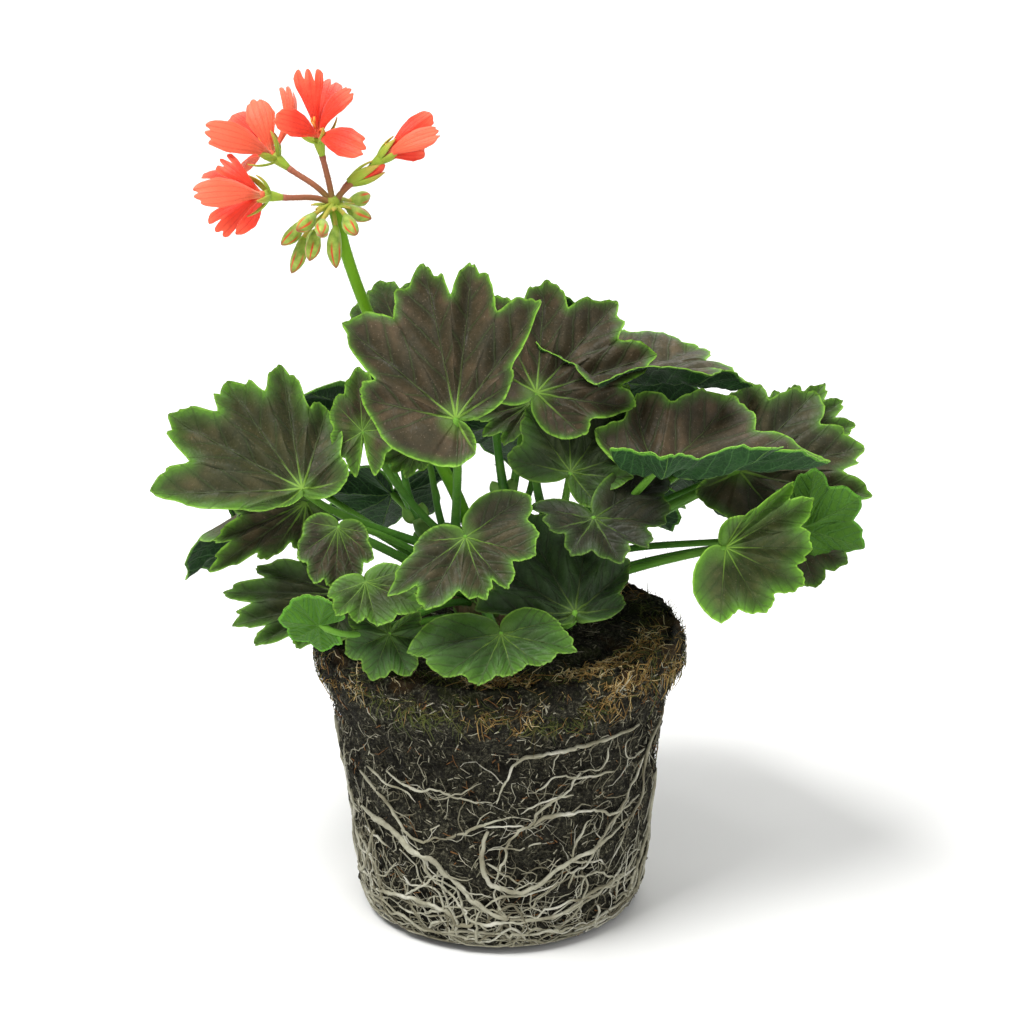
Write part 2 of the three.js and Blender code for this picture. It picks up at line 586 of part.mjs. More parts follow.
// Each bud: its middle, the direction it points and its length.
const BUDS = [
  { at: sight(335, 476, -20), way: [-0.7, -0.3, -0.7], long: 9 },
  { at: sight(345, 468, -26), way: [-0.5, -0.8, -0.3], long: 9 },
  { at: sight(339, 492, -17), way: [-0.35, -0.1, -1], long: 11 },
  { at: sight(350, 485, -24), way: [-0.2, -0.5, -0.9], long: 9 },
  { at: sight(357, 472, -30), way: [0, -1, -0.3], long: 8 },
  { at: sight(367, 486, -20), way: [0, -0.2, -1], long: 12 },
  { at: sight(378, 470, -24), way: [0.4, -0.7, -0.5], long: 8 },
  { at: sight(384, 461, -16), way: [0.9, -0.2, -0.4], long: 8 },
  { at: sight(350, 478, -6), way: [-0.5, 0.7, -0.6], long: 8 },
  { at: sight(368, 478, -4), way: [0.1, 0.8, -0.6], long: 8 },
  { at: sight(385, 450, -4), way: [0.8, 0.6, 0.1], long: 7 },
];
const BIG_BUD = { at: sight(389, 433, -13), way: [0.9, 0, 0.45], long: 12 };

// A closed spindle about a line, for a bud.
function spindle(at, way, long, thick, sides, grow = 0) {
  const axis = vec(way).normalize();
  const line = [-0.5, -0.1, 0.3, 0.5].map((u) => vec(at).addScaledVector(axis, u * long));
  return tube(line, [0.45, 1, 0.8, 0.25].map((r) => r * thick), sides, grow);
}

// One petal from the middle of a flower to its tip, bowed, with a toothed end.
function petalSolid(from, [tipAt, wide, bow], grow = 0) {
  const tip = vec(tipAt);
  const ahead = tip.clone().sub(from);
  const length = ahead.length();
  ahead.normalize();
  const up = vec(bow).normalize();
  const side = ahead.clone().cross(up).normalize();
  up.copy(side).cross(ahead);
  const rows = [
    [0, [-0.18, 0, 0.18]], [0.3, [-0.32, 0, 0.32]], [0.6, [-0.85, 0, 0.85]], [0.82, [-1, -0.4, 0.4, 1]],
    [0.97, [-0.66]], [0.88, [-0.36]], [1, [0]], [0.88, [0.36]], [0.97, [0.66]],
  ];
  const points = [];
  for (const face of [1, -1])
    for (const [u, row] of rows)
      for (const w of row) {
        const sag = length * (0.16 * Math.sin(Math.PI * u) - 0.05 * u) - 0.15 * w * w * wide;
        const reach = u * length + (u === 0 ? -grow : 0) + (u > 0.85 ? grow : 0);
        const point = from.clone().addScaledVector(ahead, reach);
        point.addScaledVector(side, 0.9 * w * (wide + 2 * grow));
        points.push(point.addScaledVector(up, sag + face * (PETAL / 2 + grow)).toArray());
      }
  // rows of points: 0-2, 3-5, 6-8, 9-12, then the teeth 13-17
  const top = [
    [0, 1, 4], [0, 4, 3], [1, 2, 5], [1, 5, 4], [3, 4, 7], [3, 7, 6], [4, 5, 8], [4, 8, 7],
    [6, 10, 9], [6, 7, 10], [7, 11, 10], [7, 8, 11], [8, 12, 11],
    [9, 14, 13], [9, 10, 14], [10, 15, 14], [10, 11, 16], [10, 16, 15], [11, 12, 16], [12, 17, 16],
  ];
  const rim = [0, 1, 2, 5, 8, 12, 17, 16, 15, 14, 13, 9, 6, 3];
  const half = points.length / 2;
  const triangles = top.flatMap(([a, b, c]) => [[a, b, c], [half + a, half + c, half + b]]);
  rim.forEach((a, i) => {
    const b = rim[(i + 1) % rim.length];
    triangles.push([b, a, half + a], [b, half + a, half + b]);
  });
  return solid(geometryOf(points, triangles));
}

// The petals of one flower and the core that they grow from.
function flowerSolid(flower, grow = 0) {
  const from = vec(flower.at);
  const out = from.clone().sub(vec(HUB)).normalize();
  const core = [from.clone().addScaledVector(out, -0.6), from.clone().addScaledVector(out, 2.4)];
  const petals = flower.petals.map((petal) => petalSolid(from, petal, grow));
  return wasm.Manifold.union([tube(core, [1.4, 1.2], 6, grow), ...petals]);
}

// A branch of the umbel, from the hub to a point.
function branchSolid(to, thick, grow) {
  const hub = vec(HUB);
  const way = vec(to).sub(hub);
  const start = hub.clone().addScaledVector(way.clone().normalize(), 1.3);
  const leaving = way.clone().multiplyScalar(0.3);
  leaving.z += 0.15 * way.length();
  const line = arc(start, leaving, way.clone().multiplyScalar(0.3), vec(to), 4);
  return tube(line, [0.9, thick, thick, thick], 3, grow);
}

// The green parts of one flower: its branch, its calyx and five sepals that lie back.
function calyxSolids(flower, grow) {
  const at = vec(flower.at);
  const out = at.clone().sub(vec(HUB)).normalize();
  const foot = at.clone().addScaledVector(out, -6);
  const across = out.clone().cross(new THREE.Vector3(0.2, 0.3, 0.9)).normalize();
  const sepals = [0, 1, 2, 3, 4].map((k) => {
    const side = across.clone().applyAxisAngle(out, (2 * Math.PI * k) / 5);
    const root = at.clone().addScaledVector(out, -2.4).addScaledVector(side, 0.6);
    const end = at.clone().addScaledVector(out, -2).addScaledVector(side, 5.4);
    return tube([root, end], [0.95, 0.4], 4, grow);
  });
  const cup = tube([foot, at.clone().addScaledVector(out, -1.2)], [0.9, 1.7], 5, grow);
  return [branchSolid(foot.toArray(), 0.85, grow), cup, ...sepals];
}

// The foot of a bud: a point a share of its length behind its middle.
function budFoot(bud, share) {
  return vec(bud.at).addScaledVector(vec(bud.way).normalize(), -share * bud.long).toArray();
}

// The stalk of the umbel with its branches, sepals and small buds.
function stalkSolid(grow = 0) {
  return wasm.Manifold.union([
    tube(smooth(STALK, 8), taper([2, 1.9, 1.7], 8), 6, grow),
    spindle(HUB, [0, 0, 1], 5, 2.6, 5, grow),
    ...FLOWERS.flatMap((flower) => calyxSolids(flower, grow)),
    ...BUDS.map((bud) => spindle(bud.at, bud.way, bud.long, 1.9, 5, grow)),
    ...BUDS.map((bud) => branchSolid(budFoot(bud, 0.3), 0.7, grow)),
    branchSolid(budFoot(BIG_BUD, 0.36), 0.8, grow),
  ]);
}

// The largest connected piece of a solid.
function largest(body) {
  return body.decompose().reduce((a, b) => (a.volume() > b.volume() ? a : b));
}

// A solid as a named mesh of the part.
function place(name, body, paint) {
  const { vertProperties, triVerts, numProp } = body.getMesh();
  const points = [];
  for (let i = 0; i < vertProperties.length; i += numProp) {
    points.push([vertProperties[i], vertProperties[i + 1], vertProperties[i + 2]]);
  }
  const geometry = geometryOf(points, Array.from(triVerts));
  geometry.computeVertexNormals();
  const mesh = new THREE.Mesh(geometry, paints[paint]);
  mesh.name = name;
  group.add(mesh);
}

const group = new THREE.Group();
const COLOURS = {
  soil: 0x2c2118, root: 0xb9b09a, moss: 0x3f4a22, stem: 0x5f9a35, leaf: 0x5d5a34, stalk: 0x78a83a,
  petal: 0xf0553c,
};
const paints = {};
for (const [name, color] of Object.entries(COLOURS)) {
  paints[name] = new THREE.MeshStandardMaterial({ name, color, roughness: 0.7 });
}

const stemsRoom = stemSolid(GAP);
const notches = Array.from({ length: NOTCHES }, (_, k) => {
  return block(-90 + (360 * k) / NOTCHES, 46 - NOTCH.deep, 60, NOTCH.wide, -2, NOTCH.high);
});

// The pieces, each with its solid and with the room that it takes up with its clearance
const parts = [
  { name: "stems", paint: "stem", body: stemSolid(), room: stemsRoom },
  {
    name: "root_ball", paint: "soil", room: ballSolid(GAP),
    body: wasm.Manifold.difference([ballSolid(), stemsRoom, ...notches]),
  },
  { name: "root_net", paint: "root", body: wasm.Manifold.union(ROOTS.map(rootSolid)).simplify(0.25) },
  { name: "moss", paint: "moss", body: mossSolid() },
  { name: "flower_stalk", paint: "stalk", body: stalkSolid(), room: stalkSolid(GAP) },
  ...FLOWERS.map((flower) => {
    return { name: flower.name, paint: "petal", body: flowerSolid(flower), room: flowerSolid(flower, GAP) };
  }),
  { name: "big_bud", paint: "petal", body: spindle(BIG_BUD.at, BIG_BUD.way, BIG_BUD.long, 2.6, 6) },
  ...LEAVES.map((leaf) => {
    return { name: leaf.name, paint: "leaf", body: leafSolid(leaf), room: leafSolid(leaf, GAP) };
  }),
];

const boxesMeet = (a, b) => a.min.every((low, i) => low < b.max[i] && b.min[i] < a.max[i]);

// Each piece gives way to the ones before it that it would touch.
parts.forEach((part, i) => {
  for (const other of parts.slice(0, i)) {
    if (!other.room || !boxesMeet(part.body.boundingBox(), other.room.boundingBox())) continue;
    const touches = part.body.intersect(other.body).volume() > 0.001;
    if (touches || other.name === "stems") part.body = largest(part.body.subtract(other.room));
  }
  part.body = part.body.simplify(0.1);
  place(part.name, part.body, part.paint);
});

export default group;
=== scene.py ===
"""A stellar zonal geranium out of its pot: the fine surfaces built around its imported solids.

Points and sizes are in millimetres and turn into metres where a mesh is made.
"""
import math
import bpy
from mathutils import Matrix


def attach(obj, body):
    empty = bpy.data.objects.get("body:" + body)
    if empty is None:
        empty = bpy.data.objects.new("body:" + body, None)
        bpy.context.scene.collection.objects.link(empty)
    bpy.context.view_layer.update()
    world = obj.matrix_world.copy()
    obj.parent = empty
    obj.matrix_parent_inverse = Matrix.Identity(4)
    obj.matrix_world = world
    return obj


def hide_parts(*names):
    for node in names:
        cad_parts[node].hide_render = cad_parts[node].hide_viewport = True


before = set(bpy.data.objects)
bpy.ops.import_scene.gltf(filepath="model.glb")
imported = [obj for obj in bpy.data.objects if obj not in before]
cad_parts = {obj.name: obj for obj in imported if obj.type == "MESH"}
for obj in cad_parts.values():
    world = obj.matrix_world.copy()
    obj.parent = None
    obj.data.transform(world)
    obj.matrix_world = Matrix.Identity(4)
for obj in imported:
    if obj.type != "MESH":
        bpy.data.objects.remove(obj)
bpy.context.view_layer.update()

from types import SimpleNamespace

import bpy
import numpy as np
from mathutils import Vector

MM = 0.001
TURN = 2 * math.pi
UP = np.array([0, 0, 1.0])

# The eye of the reference view, its downward tilt, and the scale and centre of its picture plane
EYE_BACK = 820
EYE_UP = 418
EYE_TILT = math.radians(18.1)
VIEW_SCALE = 2066
VIEW_CENTRE = (486, 631)
VIEW_SIZE = 1024


def sight(across, down, depth):
    """A point on a sight line of the reference view, by how far it lies behind the ball's middle."""
    a = (across - VIEW_CENTRE[0]) / VIEW_SCALE
    b = (VIEW_CENTRE[1] - down) / VIEW_SCALE
    t = (depth + EYE_BACK) / (math.cos(EYE_TILT) + b * math.sin(EYE_TILT))
    return np.array([t * a, depth, EYE_UP + t * (b * math.cos(EYE_TILT) - math.sin(EYE_TILT))])


def link_new(name, data):
    """A new object in the scene."""
    made = bpy.data.objects.new(name, data)
    bpy.context.scene.collection.objects.link(made)
    return made


def aim(thing, place, target):
    """Puts a camera or a lamp at a place in metres and turns it to a target."""
    thing.location = place
    thing.rotation_mode = "QUATERNION"
    thing.rotation_quaternion = (Vector(target) - Vector(place)).to_track_quat("-Z", "Y")


# Camera: at the reference eye, turned to the middle of the plant, which fills most of the frame
PLANT_MIDDLE = (495, 679)
CLOSER = 1.37
SENSOR = 36

camera = link_new("camera", bpy.data.cameras.new("camera"))
camera.data.sensor_width = SENSOR
camera.data.lens = CLOSER * VIEW_SCALE / VIEW_SIZE * SENSOR
camera.data.clip_start = 0.01
bpy.context.scene.camera = camera
aim(camera, Vector((0, -EYE_BACK, EYE_UP)) * MM, Vector(sight(*PLANT_MIDDLE, 0)) * MM)


# Small helpers


def unit(v):
    """Vectors of length 1."""
    v = np.asarray(v, float)
    return v / np.maximum(np.linalg.norm(v, axis=-1, keepdims=True), 1e-12)


def joined(*parts):
    """Points or vectors made of their parts, which may be of any shapes that fit each other."""
    return np.stack(np.broadcast_arrays(*parts), axis=-1)


def around(r, azimuth, z):
    """Points at a distance from the ball's axis and a height, by azimuth in radians."""
    return joined(r * np.cos(azimuth), r * np.sin(azimuth), z)


def crosswise(way, near=(0.2, 0.1, 1.0)):
    """Two directions at right angles to a way and to each other."""
    side = unit(np.cross(way, near))
    return side, np.cross(way, side)


def smoothstep(low, high, x):
    """0 below low, 1 above high, and a smooth rise between them."""
    t = np.clip((x - low) / (high - low), 0, 1)
    return t * t * (3 - 2 * t)


LATTICE_SIDE = 32
LATTICE = np.random.default_rng(7).random((LATTICE_SIDE,) * 3)


def noise(points, size, offset=0.0):
    """Smooth noise from -1 to 1 at points, with lumps of about that size."""
    p = np.asarray(points, float) / size + offset + 1000.0
    low = np.floor(p).astype(int)
    t = p - low
    t = t * t * (3 - 2 * t)
    total = 0
    for corner in np.ndindex(2, 2, 2):
        share = np.abs(1 - np.array(corner) - t)
        at = (low + corner) % LATTICE_SIDE
        value = LATTICE[at[..., 0], at[..., 1], at[..., 2]]
        total = total + share[..., 0] * share[..., 1] * share[..., 2] * value
    return 2 * total - 1


def bezier(a, b, c, d, count):
    """Points along a cubic curve."""
    t = np.linspace(0, 1, count)[:, None]
    return (1 - t) ** 3 * a + 3 * t * (1 - t) ** 2 * b + 3 * t * t * (1 - t) * c + t**3 * d


def catmull(points, count):
    """Points along a smooth curve through the given ones, evenly spread by its own parameter."""
    p = np.array(points, float)
    p = np.vstack([2 * p[0] - p[1], p, 2 * p[-1] - p[-2]])
    made = []
    for u in np.linspace(0, len(points) - 1, count):
        k = min(int(u), len(points) - 2)
        w = u - k
        q = p[k : k + 4]
        gap = np.sqrt(np.linalg.norm(np.diff(q, axis=0), axis=1))
        slope = [(q[i + 1] - q[i]) / gap[i] for i in range(3)]
        t1 = (slope[0] - (q[2] - q[0]) / (gap[0] + gap[1]) + slope[1]) * gap[1]
        t2 = (slope[1] - (q[3] - q[1]) / (gap[1] + gap[2]) + slope[2]) * gap[1]
        rise = q[2] - q[1]
        made.append(q[1] + t1 * w + (3 * rise - 2 * t1 - t2) * w * w + (t1 + t2 - 2 * rise) * w**3)
    return np.array(made)


def lengths_along(line):
    """How far along a line each of its points lies."""
    return np.concatenate([[0], np.cumsum(np.linalg.norm(np.diff(line, axis=0), axis=1))])


def spread(line, count):
    """The same line with its points evenly spaced."""
    far = lengths_along(line)
    at = np.linspace(0, far[-1], count)
    return np.stack([np.interp(at, far, line[:, i]) for i in range(3)], axis=1)


def grid_quads(rows, columns, wrap=False):
    """Quads over a grid of points, closed round its columns if wrap is set."""
    r, c = np.meshgrid(np.arange(rows - 1), np.arange(columns if wrap else columns - 1), indexing="ij")
    a = r * columns + c
    b = r * columns + (c + 1) % columns
    return np.stack([a, b, b + columns, a + columns], axis=-1).reshape(-1, 4)


def end_caps(rows, columns):
    """The faces that close a wrapped grid at its first and last row."""
    return np.stack([np.arange(columns)[::-1], (rows - 1) * columns + np.arange(columns)])


def sheet(root, axes, along, across, lift, thin):
    """The points and faces of a thin sheet: its upper side, its lower side and the wall round its rim."""
    ahead, side, up = axes
    middle = root + along[..., None] * ahead + across[..., None] * side
    points = [(middle + (lift + face * thin)[..., None] * up).reshape(-1, 3) for face in (1, -1)]
    rows, columns = lift.shape
    count = rows * columns
    rim = np.concatenate([
        np.arange(columns), columns - 1 + columns * np.arange(1, rows),
        count - columns + np.arange(columns - 2, -1, -1), columns * np.arange(rows - 2, 0, -1),
    ])
    after = np.roll(rim, -1)
    wall = np.stack([rim, after, after + count, rim + count], axis=1)
    quads = grid_quads(rows, columns)
    return np.concatenate(points), [quads[:, ::-1], quads + count, wall]


def tube_mesh(lines, radii, sides):
    """The points and faces of closed tubes along many lines of as many points each."""
    count, steps, _ = lines.shape
    ahead = unit(np.gradient(lines, axis=1))
    turn = TURN * np.arange(sides) / sides
    side = np.tile([0.31, 0.95, 0.05], (count, 1))
    rings = np.empty((count, steps, sides, 3))
    for k in range(steps):
        side = unit(side - np.sum(side * ahead[:, k], axis=1, keepdims=True) * ahead[:, k])
        other = np.cross(ahead[:, k], side)
        ring = np.cos(turn)[None, :, None] * side[:, None] + np.sin(turn)[None, :, None] * other[:, None]
        rings[:, k] = lines[:, k, None] + radii[:, k, None, None] * ring
    first = (np.arange(count) * steps * sides)[:, None, None]
    walls = (grid_quads(steps, sides, wrap=True)[None] + first).reshape(-1, 4)
    caps = (end_caps(steps, sides)[None] + first).reshape(-1, sides)
    return rings.reshape(-1, 3), [walls, caps]


VECTORS = {"flat", "vein", "tone"}


class Shape:
    """Points, faces and values per point, gathered piece by piece into one mesh."""

    def __init__(self, *values):
        self.points = []
        self.faces = []
        self.paints = []
        self.values = {name: [] for name in values}
        self.count = 0

    def add(self, points, faces, paint=0, **values):
        """Adds points, groups of faces with one material number or one each, and the points' values."""
        points = np.asarray(points, float).reshape(-1, 3)
        paints = paint if isinstance(paint, list) else [paint] * len(faces)
        for group, number in zip(faces, paints):
            self.faces.append(group + self.count)
            self.paints.append(np.full(len(group), number))
        self.points.append(points)
        for name, parts in self.values.items():
            value = np.asarray(values.get(name, 0.0), float)
            parts.append(np.broadcast_to(value, (len(points), 3) if name in VECTORS else (len(points),)))
        self.count += len(points)

    def tubes(self, lines, radii, sides, paint=0, **values):
        """Adds tubes along many lines, with a value for each, or along one, with a value at each point."""
        lines = np.asarray(lines, float)
        alone = lines.ndim == 2
        lines = lines[None] if alone else lines
        points, faces = tube_mesh(lines, np.broadcast_to(radii, lines.shape[:2]), sides)
        for name, value in values.items():
            if np.ndim(value) and name not in VECTORS:
                values[name] = np.repeat(value, sides if alone else lines.shape[1] * sides)
        self.add(points, faces, paint, **values)

    def build(self, name, materials, nodes):
        """Makes the object, which rides on the root body and stands for the given nodes."""
        mesh = bpy.data.meshes.new(name)
        points = np.concatenate(self.points) * MM
        sizes = np.concatenate([np.full(len(f), f.shape[1]) for f in self.faces])
        loops = np.concatenate([f.ravel() for f in self.faces])
        starts = np.concatenate([[0], np.cumsum(sizes)[:-1]])
        mesh.vertices.add(len(points))
        mesh.vertices.foreach_set("co", points.ravel())
        mesh.loops.add(len(loops))
        mesh.loops.foreach_set("vertex_index", loops.astype(np.int32))
        mesh.polygons.add(len(sizes))
        mesh.polygons.foreach_set("loop_start", starts.astype(np.int32))
        mesh.polygons.foreach_set("material_index", np.concatenate(self.paints).astype(np.int32))
        mesh.update(calc_edges=True)
        for key, parts in self.values.items():
            kind, field = ("FLOAT_VECTOR", "vector") if key in VECTORS else ("FLOAT", "value")
            attribute = mesh.attributes.new(key, kind, "POINT")
            attribute.data.foreach_set(field, np.concatenate(parts).ravel())
        mesh.shade_smooth()
        for material in materials:
            mesh.materials.append(material)
        made = link_new(name, mesh)
        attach(made, "root")
        if nodes:
            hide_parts(*nodes)


# Materials


def srgb(*levels):
    """A colour given as screen levels from 0 to 255, as Blender's linear colour."""
    return tuple(((v / 255 + 0.055) / 1.055) ** 2.4 if v > 10 else v / 255 / 12.92 for v in levels) + (1.0,)


class Wire:
    """A value or colour that runs between a material's nodes. Arithmetic on it adds nodes."""

    def __init__(self, paint, socket):
        self.paint = paint
        self.socket = socket

    def __add__(self, other):
        return self.paint.math("ADD", self, other)

    def __sub__(self, other):
        return self.paint.math("SUBTRACT", self, other)

    def __mul__(self, other):
        return self.paint.math("MULTIPLY", self, other)

    def __truediv__(self, other):
        return self.paint.math("DIVIDE", self, other)

    def __abs__(self):
        return self.paint.math("ABSOLUTE", self)

    def fit(self, scale, shift):
        return self.paint.math("MULTIPLY_ADD", self, scale, shift)

    def rise(self, low, high, start=0.0, end=1.0):
        """A smooth change from start to end as the value goes from low to high."""
        inputs = {"Value": self, "From Min": low, "From Max": high, "To Min": start, "To Max": end}
        return self.paint.node("ShaderNodeMapRange", inputs, interpolation_type="SMOOTHSTEP")

    def fall(self, low, high):
        return self.rise(low, high, 1.0, 0.0)

    def mix(self, share, other):
        """This colour with a share of another in it."""
        return self.paint.mix(share, self, other)


class Paint:
    """One material, with short ways to add its nodes. A colour is a wire or three screen levels."""

    def __init__(self, name, roughness=0.6, specular=0.4, sheen=0.0):
        self.material = bpy.data.materials.new(name)
        self.material.use_nodes = True
        self.tree = self.material.node_tree
        self.shader = self.tree.nodes["Principled BSDF"]
        looks = {"Roughness": roughness, "Specular IOR Level": specular, "Sheen Weight": sheen}
        for socket, value in {**looks, "Sheen Roughness": 0.45}.items():
            self.shader.inputs[socket].default_value = value

    def node(self, kind, inputs=None, output=0, **settings):
        """Adds a node and gives one of its outputs."""
        made = self.tree.nodes.new(kind)
        for key, value in settings.items():
            setattr(made, key, value)
        for socket, value in (inputs or {}).items():
            if isinstance(value, Wire):
                self.tree.links.new(value.socket, made.inputs[socket])
            else:
                made.inputs[socket].default_value = value
        return Wire(self, made.outputs[output])

    def value(self, name):
        """A number kept on the mesh."""
        return self.node("ShaderNodeAttribute", None, "Fac", attribute_name=name)

    def vector(self, name):
        """A vector kept on the mesh."""
        return self.node("ShaderNodeAttribute", None, "Vector", attribute_name=name)

    def axes(self, vector):
        made = self.node("ShaderNodeSeparateXYZ", {0: vector}).socket.node
        return [Wire(self, output) for output in made.outputs]

    def place(self):
        return self.node("ShaderNodeTexCoord", None, "Object")

    def height(self):
        return self.axes(self.place())[2]

    def math(self, operation, a, b=0.0, c=0.0):
        return self.node("ShaderNodeMath", {0: a, 1: b, 2: c}, operation=operation)

    def cloud(self, size, detail=4.0, vector=None, roughness=0.6):
        """Noise from 0 to 1, with lumps of a size in the vector's own units (metres by default)."""
        inputs = {"Vector": vector or self.place(), "Scale": 1 / size, "Detail": detail}
        return self.node("ShaderNodeTexNoise", {**inputs, "Roughness": roughness}, "Fac")

    def cells(self, size, vector):
        """The distance to the edge of the nearest cell."""
        inputs = {"Vector": vector, "Scale": 1 / size}
        return self.node("ShaderNodeTexVoronoi", inputs, "Distance", feature="DISTANCE_TO_EDGE")

    def mix(self, share, a, b):
        """Colour a with a share of b in it."""
        a, b = (c if isinstance(c, Wire) else srgb(*c) for c in (a, b))
        return self.node("ShaderNodeMix", {0: share, 6: a, 7: b}, 2, data_type="RGBA", blend_type="MIX")

    def ramp(self, x, *stops):
        """A colour read off stops, each a place with three levels."""
        made = self.node("ShaderNodeValToRGB", {0: x})
        ramp = made.socket.node.color_ramp
        while len(ramp.elements) < len(stops):
            ramp.elements.new(0.5)
        for element, (place, *levels) in zip(ramp.elements, stops):
            element.position = place
            element.color = srgb(*levels)
        return made

    def lit(self, colour, light):
        """A colour made lighter or darker, for painted light and shade."""
        return self.node("ShaderNodeHueSaturation", {"Value": light, "Color": colour})

    def finish(self, colour, height=None, depth=0.3, roughness=None):
        """Sets the colour, and the bump of a height from 0 to 1 with its depth in millimetres."""
        bump = {"Height": height, "Distance": depth * MM, "Strength": 1.0}
        normal = self.node("ShaderNodeBump", bump) if height else None
        for socket, wire in {"Base Color": colour, "Normal": normal, "Roughness": roughness}.items():
            if wire:
                self.tree.links.new(wire.socket, self.shader.inputs[socket])
        return self.material


def on_blade(paint):
    """How strongly each point of a blade lies on each kind of vein and in the painted shade of the valleys
    beside the veins, and how its leaf is toned and lit with painted light and shade.
    """
    flat = paint.vector("flat")
    across, phase, spacing = paint.axes(paint.vector("vein"))
    # the leaf's bronze share, its hem width and its painted light and shade
    bronze, hem, light = paint.axes(paint.vector("tone"))
    near = abs(across)
    reach = paint.node("ShaderNodeVectorMath", {0: flat}, "Value", operation="LENGTH")
    step = paint.math("FRACT", phase + 0.5)
    off = abs((step - 0.5) * spacing + paint.cloud(6, 2, flat).fit(1.6, -0.8))
    begun = phase.rise(0.4, 0.6) * near.rise(0.1, 0.4)
    # painted shade in the valleys that run beside the side veins and beside the main veins
    shade_by_side_veins = (off / spacing).fall(0.02, 0.3) * begun
    shade_by_main_veins = (near / spacing).fall(0.04, 0.36)
    return SimpleNamespace(
        flat=flat, reach=reach, bronze=bronze, hem=hem, light=light,
        rim=paint.value("rim"),
        patch=paint.cloud(12, 3, flat),
        main=(near / reach.rise(3, 30, 0.29, 0.14)).fall(0.5, 1.5),
        side=off.fall(0.1, 0.42) * begun,
        net=paint.cells(2.1, flat).fall(0.0, 0.14),
        valley_shade=paint.math("MAXIMUM", shade_by_side_veins, shade_by_main_veins),
    )


def leaf_top():
    paint = Paint("leaf_top", roughness=0.6, specular=0.34, sheen=0.06)
    at = on_blade(paint)
    brown = paint.ramp(at.patch, (0.3, 42, 40, 21), (0.5, 62, 53, 32), (0.7, 90, 73, 51))
    # painted shade darkens the brown in the valleys beside the veins
    brown = brown.mix(at.valley_shade * 0.6, (40, 42, 21))
    # pale flecks: a painted sheen off the fine hairs
    brown = brown.mix(paint.cloud(0.7, 2, at.flat).rise(0.6, 0.78, 0, 0.4), (168, 150, 126))
    # the green blade, with painted shade in the valleys beside the veins
    green = paint.ramp(at.patch, (0.3, 34, 70, 18), (0.7, 66, 112, 32)).mix(at.valley_shade * 0.35, (34, 60, 20))
    colour = green.mix(at.bronze, brown)
    # the green hem: a bright line on the edge, and a darker ragged band inside it
    share = (at.rim + paint.cloud(4.5, 4, at.flat).fit(3.2, -1.6)) / at.hem
    line = at.rim + paint.cloud(2.2, 3, at.flat).fit(0.9, -0.45)
    colour = paint.mix(at.bronze, (62, 112, 30), (66, 88, 34)).mix(share.rise(0.4, 2.6), colour)
    colour = paint.mix(share.rise(0.0, 1.1), (84, 132, 30), colour)
    colour = paint.mix(line.rise(0.05, 0.7), (132, 184, 58), colour)
    # veins: yellow-green by the petiole, faint further out
    vein = paint.mix(at.reach.rise(3, 13), (126, 166, 58), (74, 90, 38))
    colour = colour.mix(at.reach.rise(1.5, 7, 0.7, 0.0), (86, 124, 40))
    colour = colour.mix(at.net * 0.08, (44, 48, 24)).mix(at.side * 0.4, (60, 76, 32))
    colour = colour.mix(at.main * at.reach.rise(4, 22, 0.85, 0.45), vein)
    grain = paint.cloud(1.4, 4, at.flat)
    height = grain.fit(0.35, 0.65) - at.main * 0.35 - at.side * 0.2 - at.net * 0.08
    # the whole upper face made lighter or darker by its leaf's painted light and shade
    return paint.finish(paint.lit(colour, at.light), height, 0.55, grain.rise(0.3, 0.7, 0.5, 0.68))


def leaf_under():
    paint = Paint("leaf_under", roughness=0.7, specular=0.2, sheen=0.03)
    at = on_blade(paint)
    # the lower face's own green, darkened as painted shade of the face turned from the light
    green = paint.ramp(at.patch, (0.3, 16, 46, 15), (0.7, 28, 66, 24))
    green = green.mix(at.bronze.rise(0.5, 0.15), (70, 116, 26)).mix(at.net * 0.2, (64, 108, 52))
    green = green.mix(at.side * 0.35, (68, 114, 54)).mix(at.main * 0.7, (96, 140, 56))
    green = paint.mix(at.rim.rise(0.2, 1.1), (100, 166, 50), green)
    # the whole lower face made lighter or darker by its leaf's painted light and shade
    return paint.finish(paint.lit(green, at.light), at.main * 0.6 + at.side * 0.4 + at.net * 0.2, 0.5)


def stalk_paint(name, low, high, tip):
    """Soft green stalks, whose value tint runs from the foot at 0 to the head at 1."""
    paint = Paint(name, roughness=0.55, specular=0.22, sheen=0.03)
    colour = paint.ramp(paint.value("tint"), (0.0, *low), (0.45, *high), (1.0, *tip))
    colour = colour.mix(paint.cloud(4 * MM, 3).rise(0.3, 0.8, 0, 0.35), tip)
    return paint.finish(colour, paint.cloud(0.8 * MM, 2), 0.15)


def stem_paint():
    """Woody at the foot and green above."""
    paint = Paint("stem", roughness=0.65)
    patch = paint.cloud(6 * MM)
    green = paint.ramp(patch, (0.3, 64, 108, 34), (0.7, 98, 128, 54))
    woody = paint.ramp(patch, (0.3, 80, 66, 42), (0.7, 122, 104, 70))
    return paint.finish(woody.mix(paint.height().rise(0.094, 0.112), green), paint.cloud(1.5 * MM), 0.4)


def stipule_paint():
    paint = Paint("stipule", roughness=0.7)
    patch = paint.cloud(3 * MM, 3)
    colour = paint.ramp(patch, (0.3, 84, 134, 48), (0.65, 112, 148, 62), (0.85, 134, 112, 66))
    return paint.finish(colour, paint.cloud(0.6 * MM), 0.1)


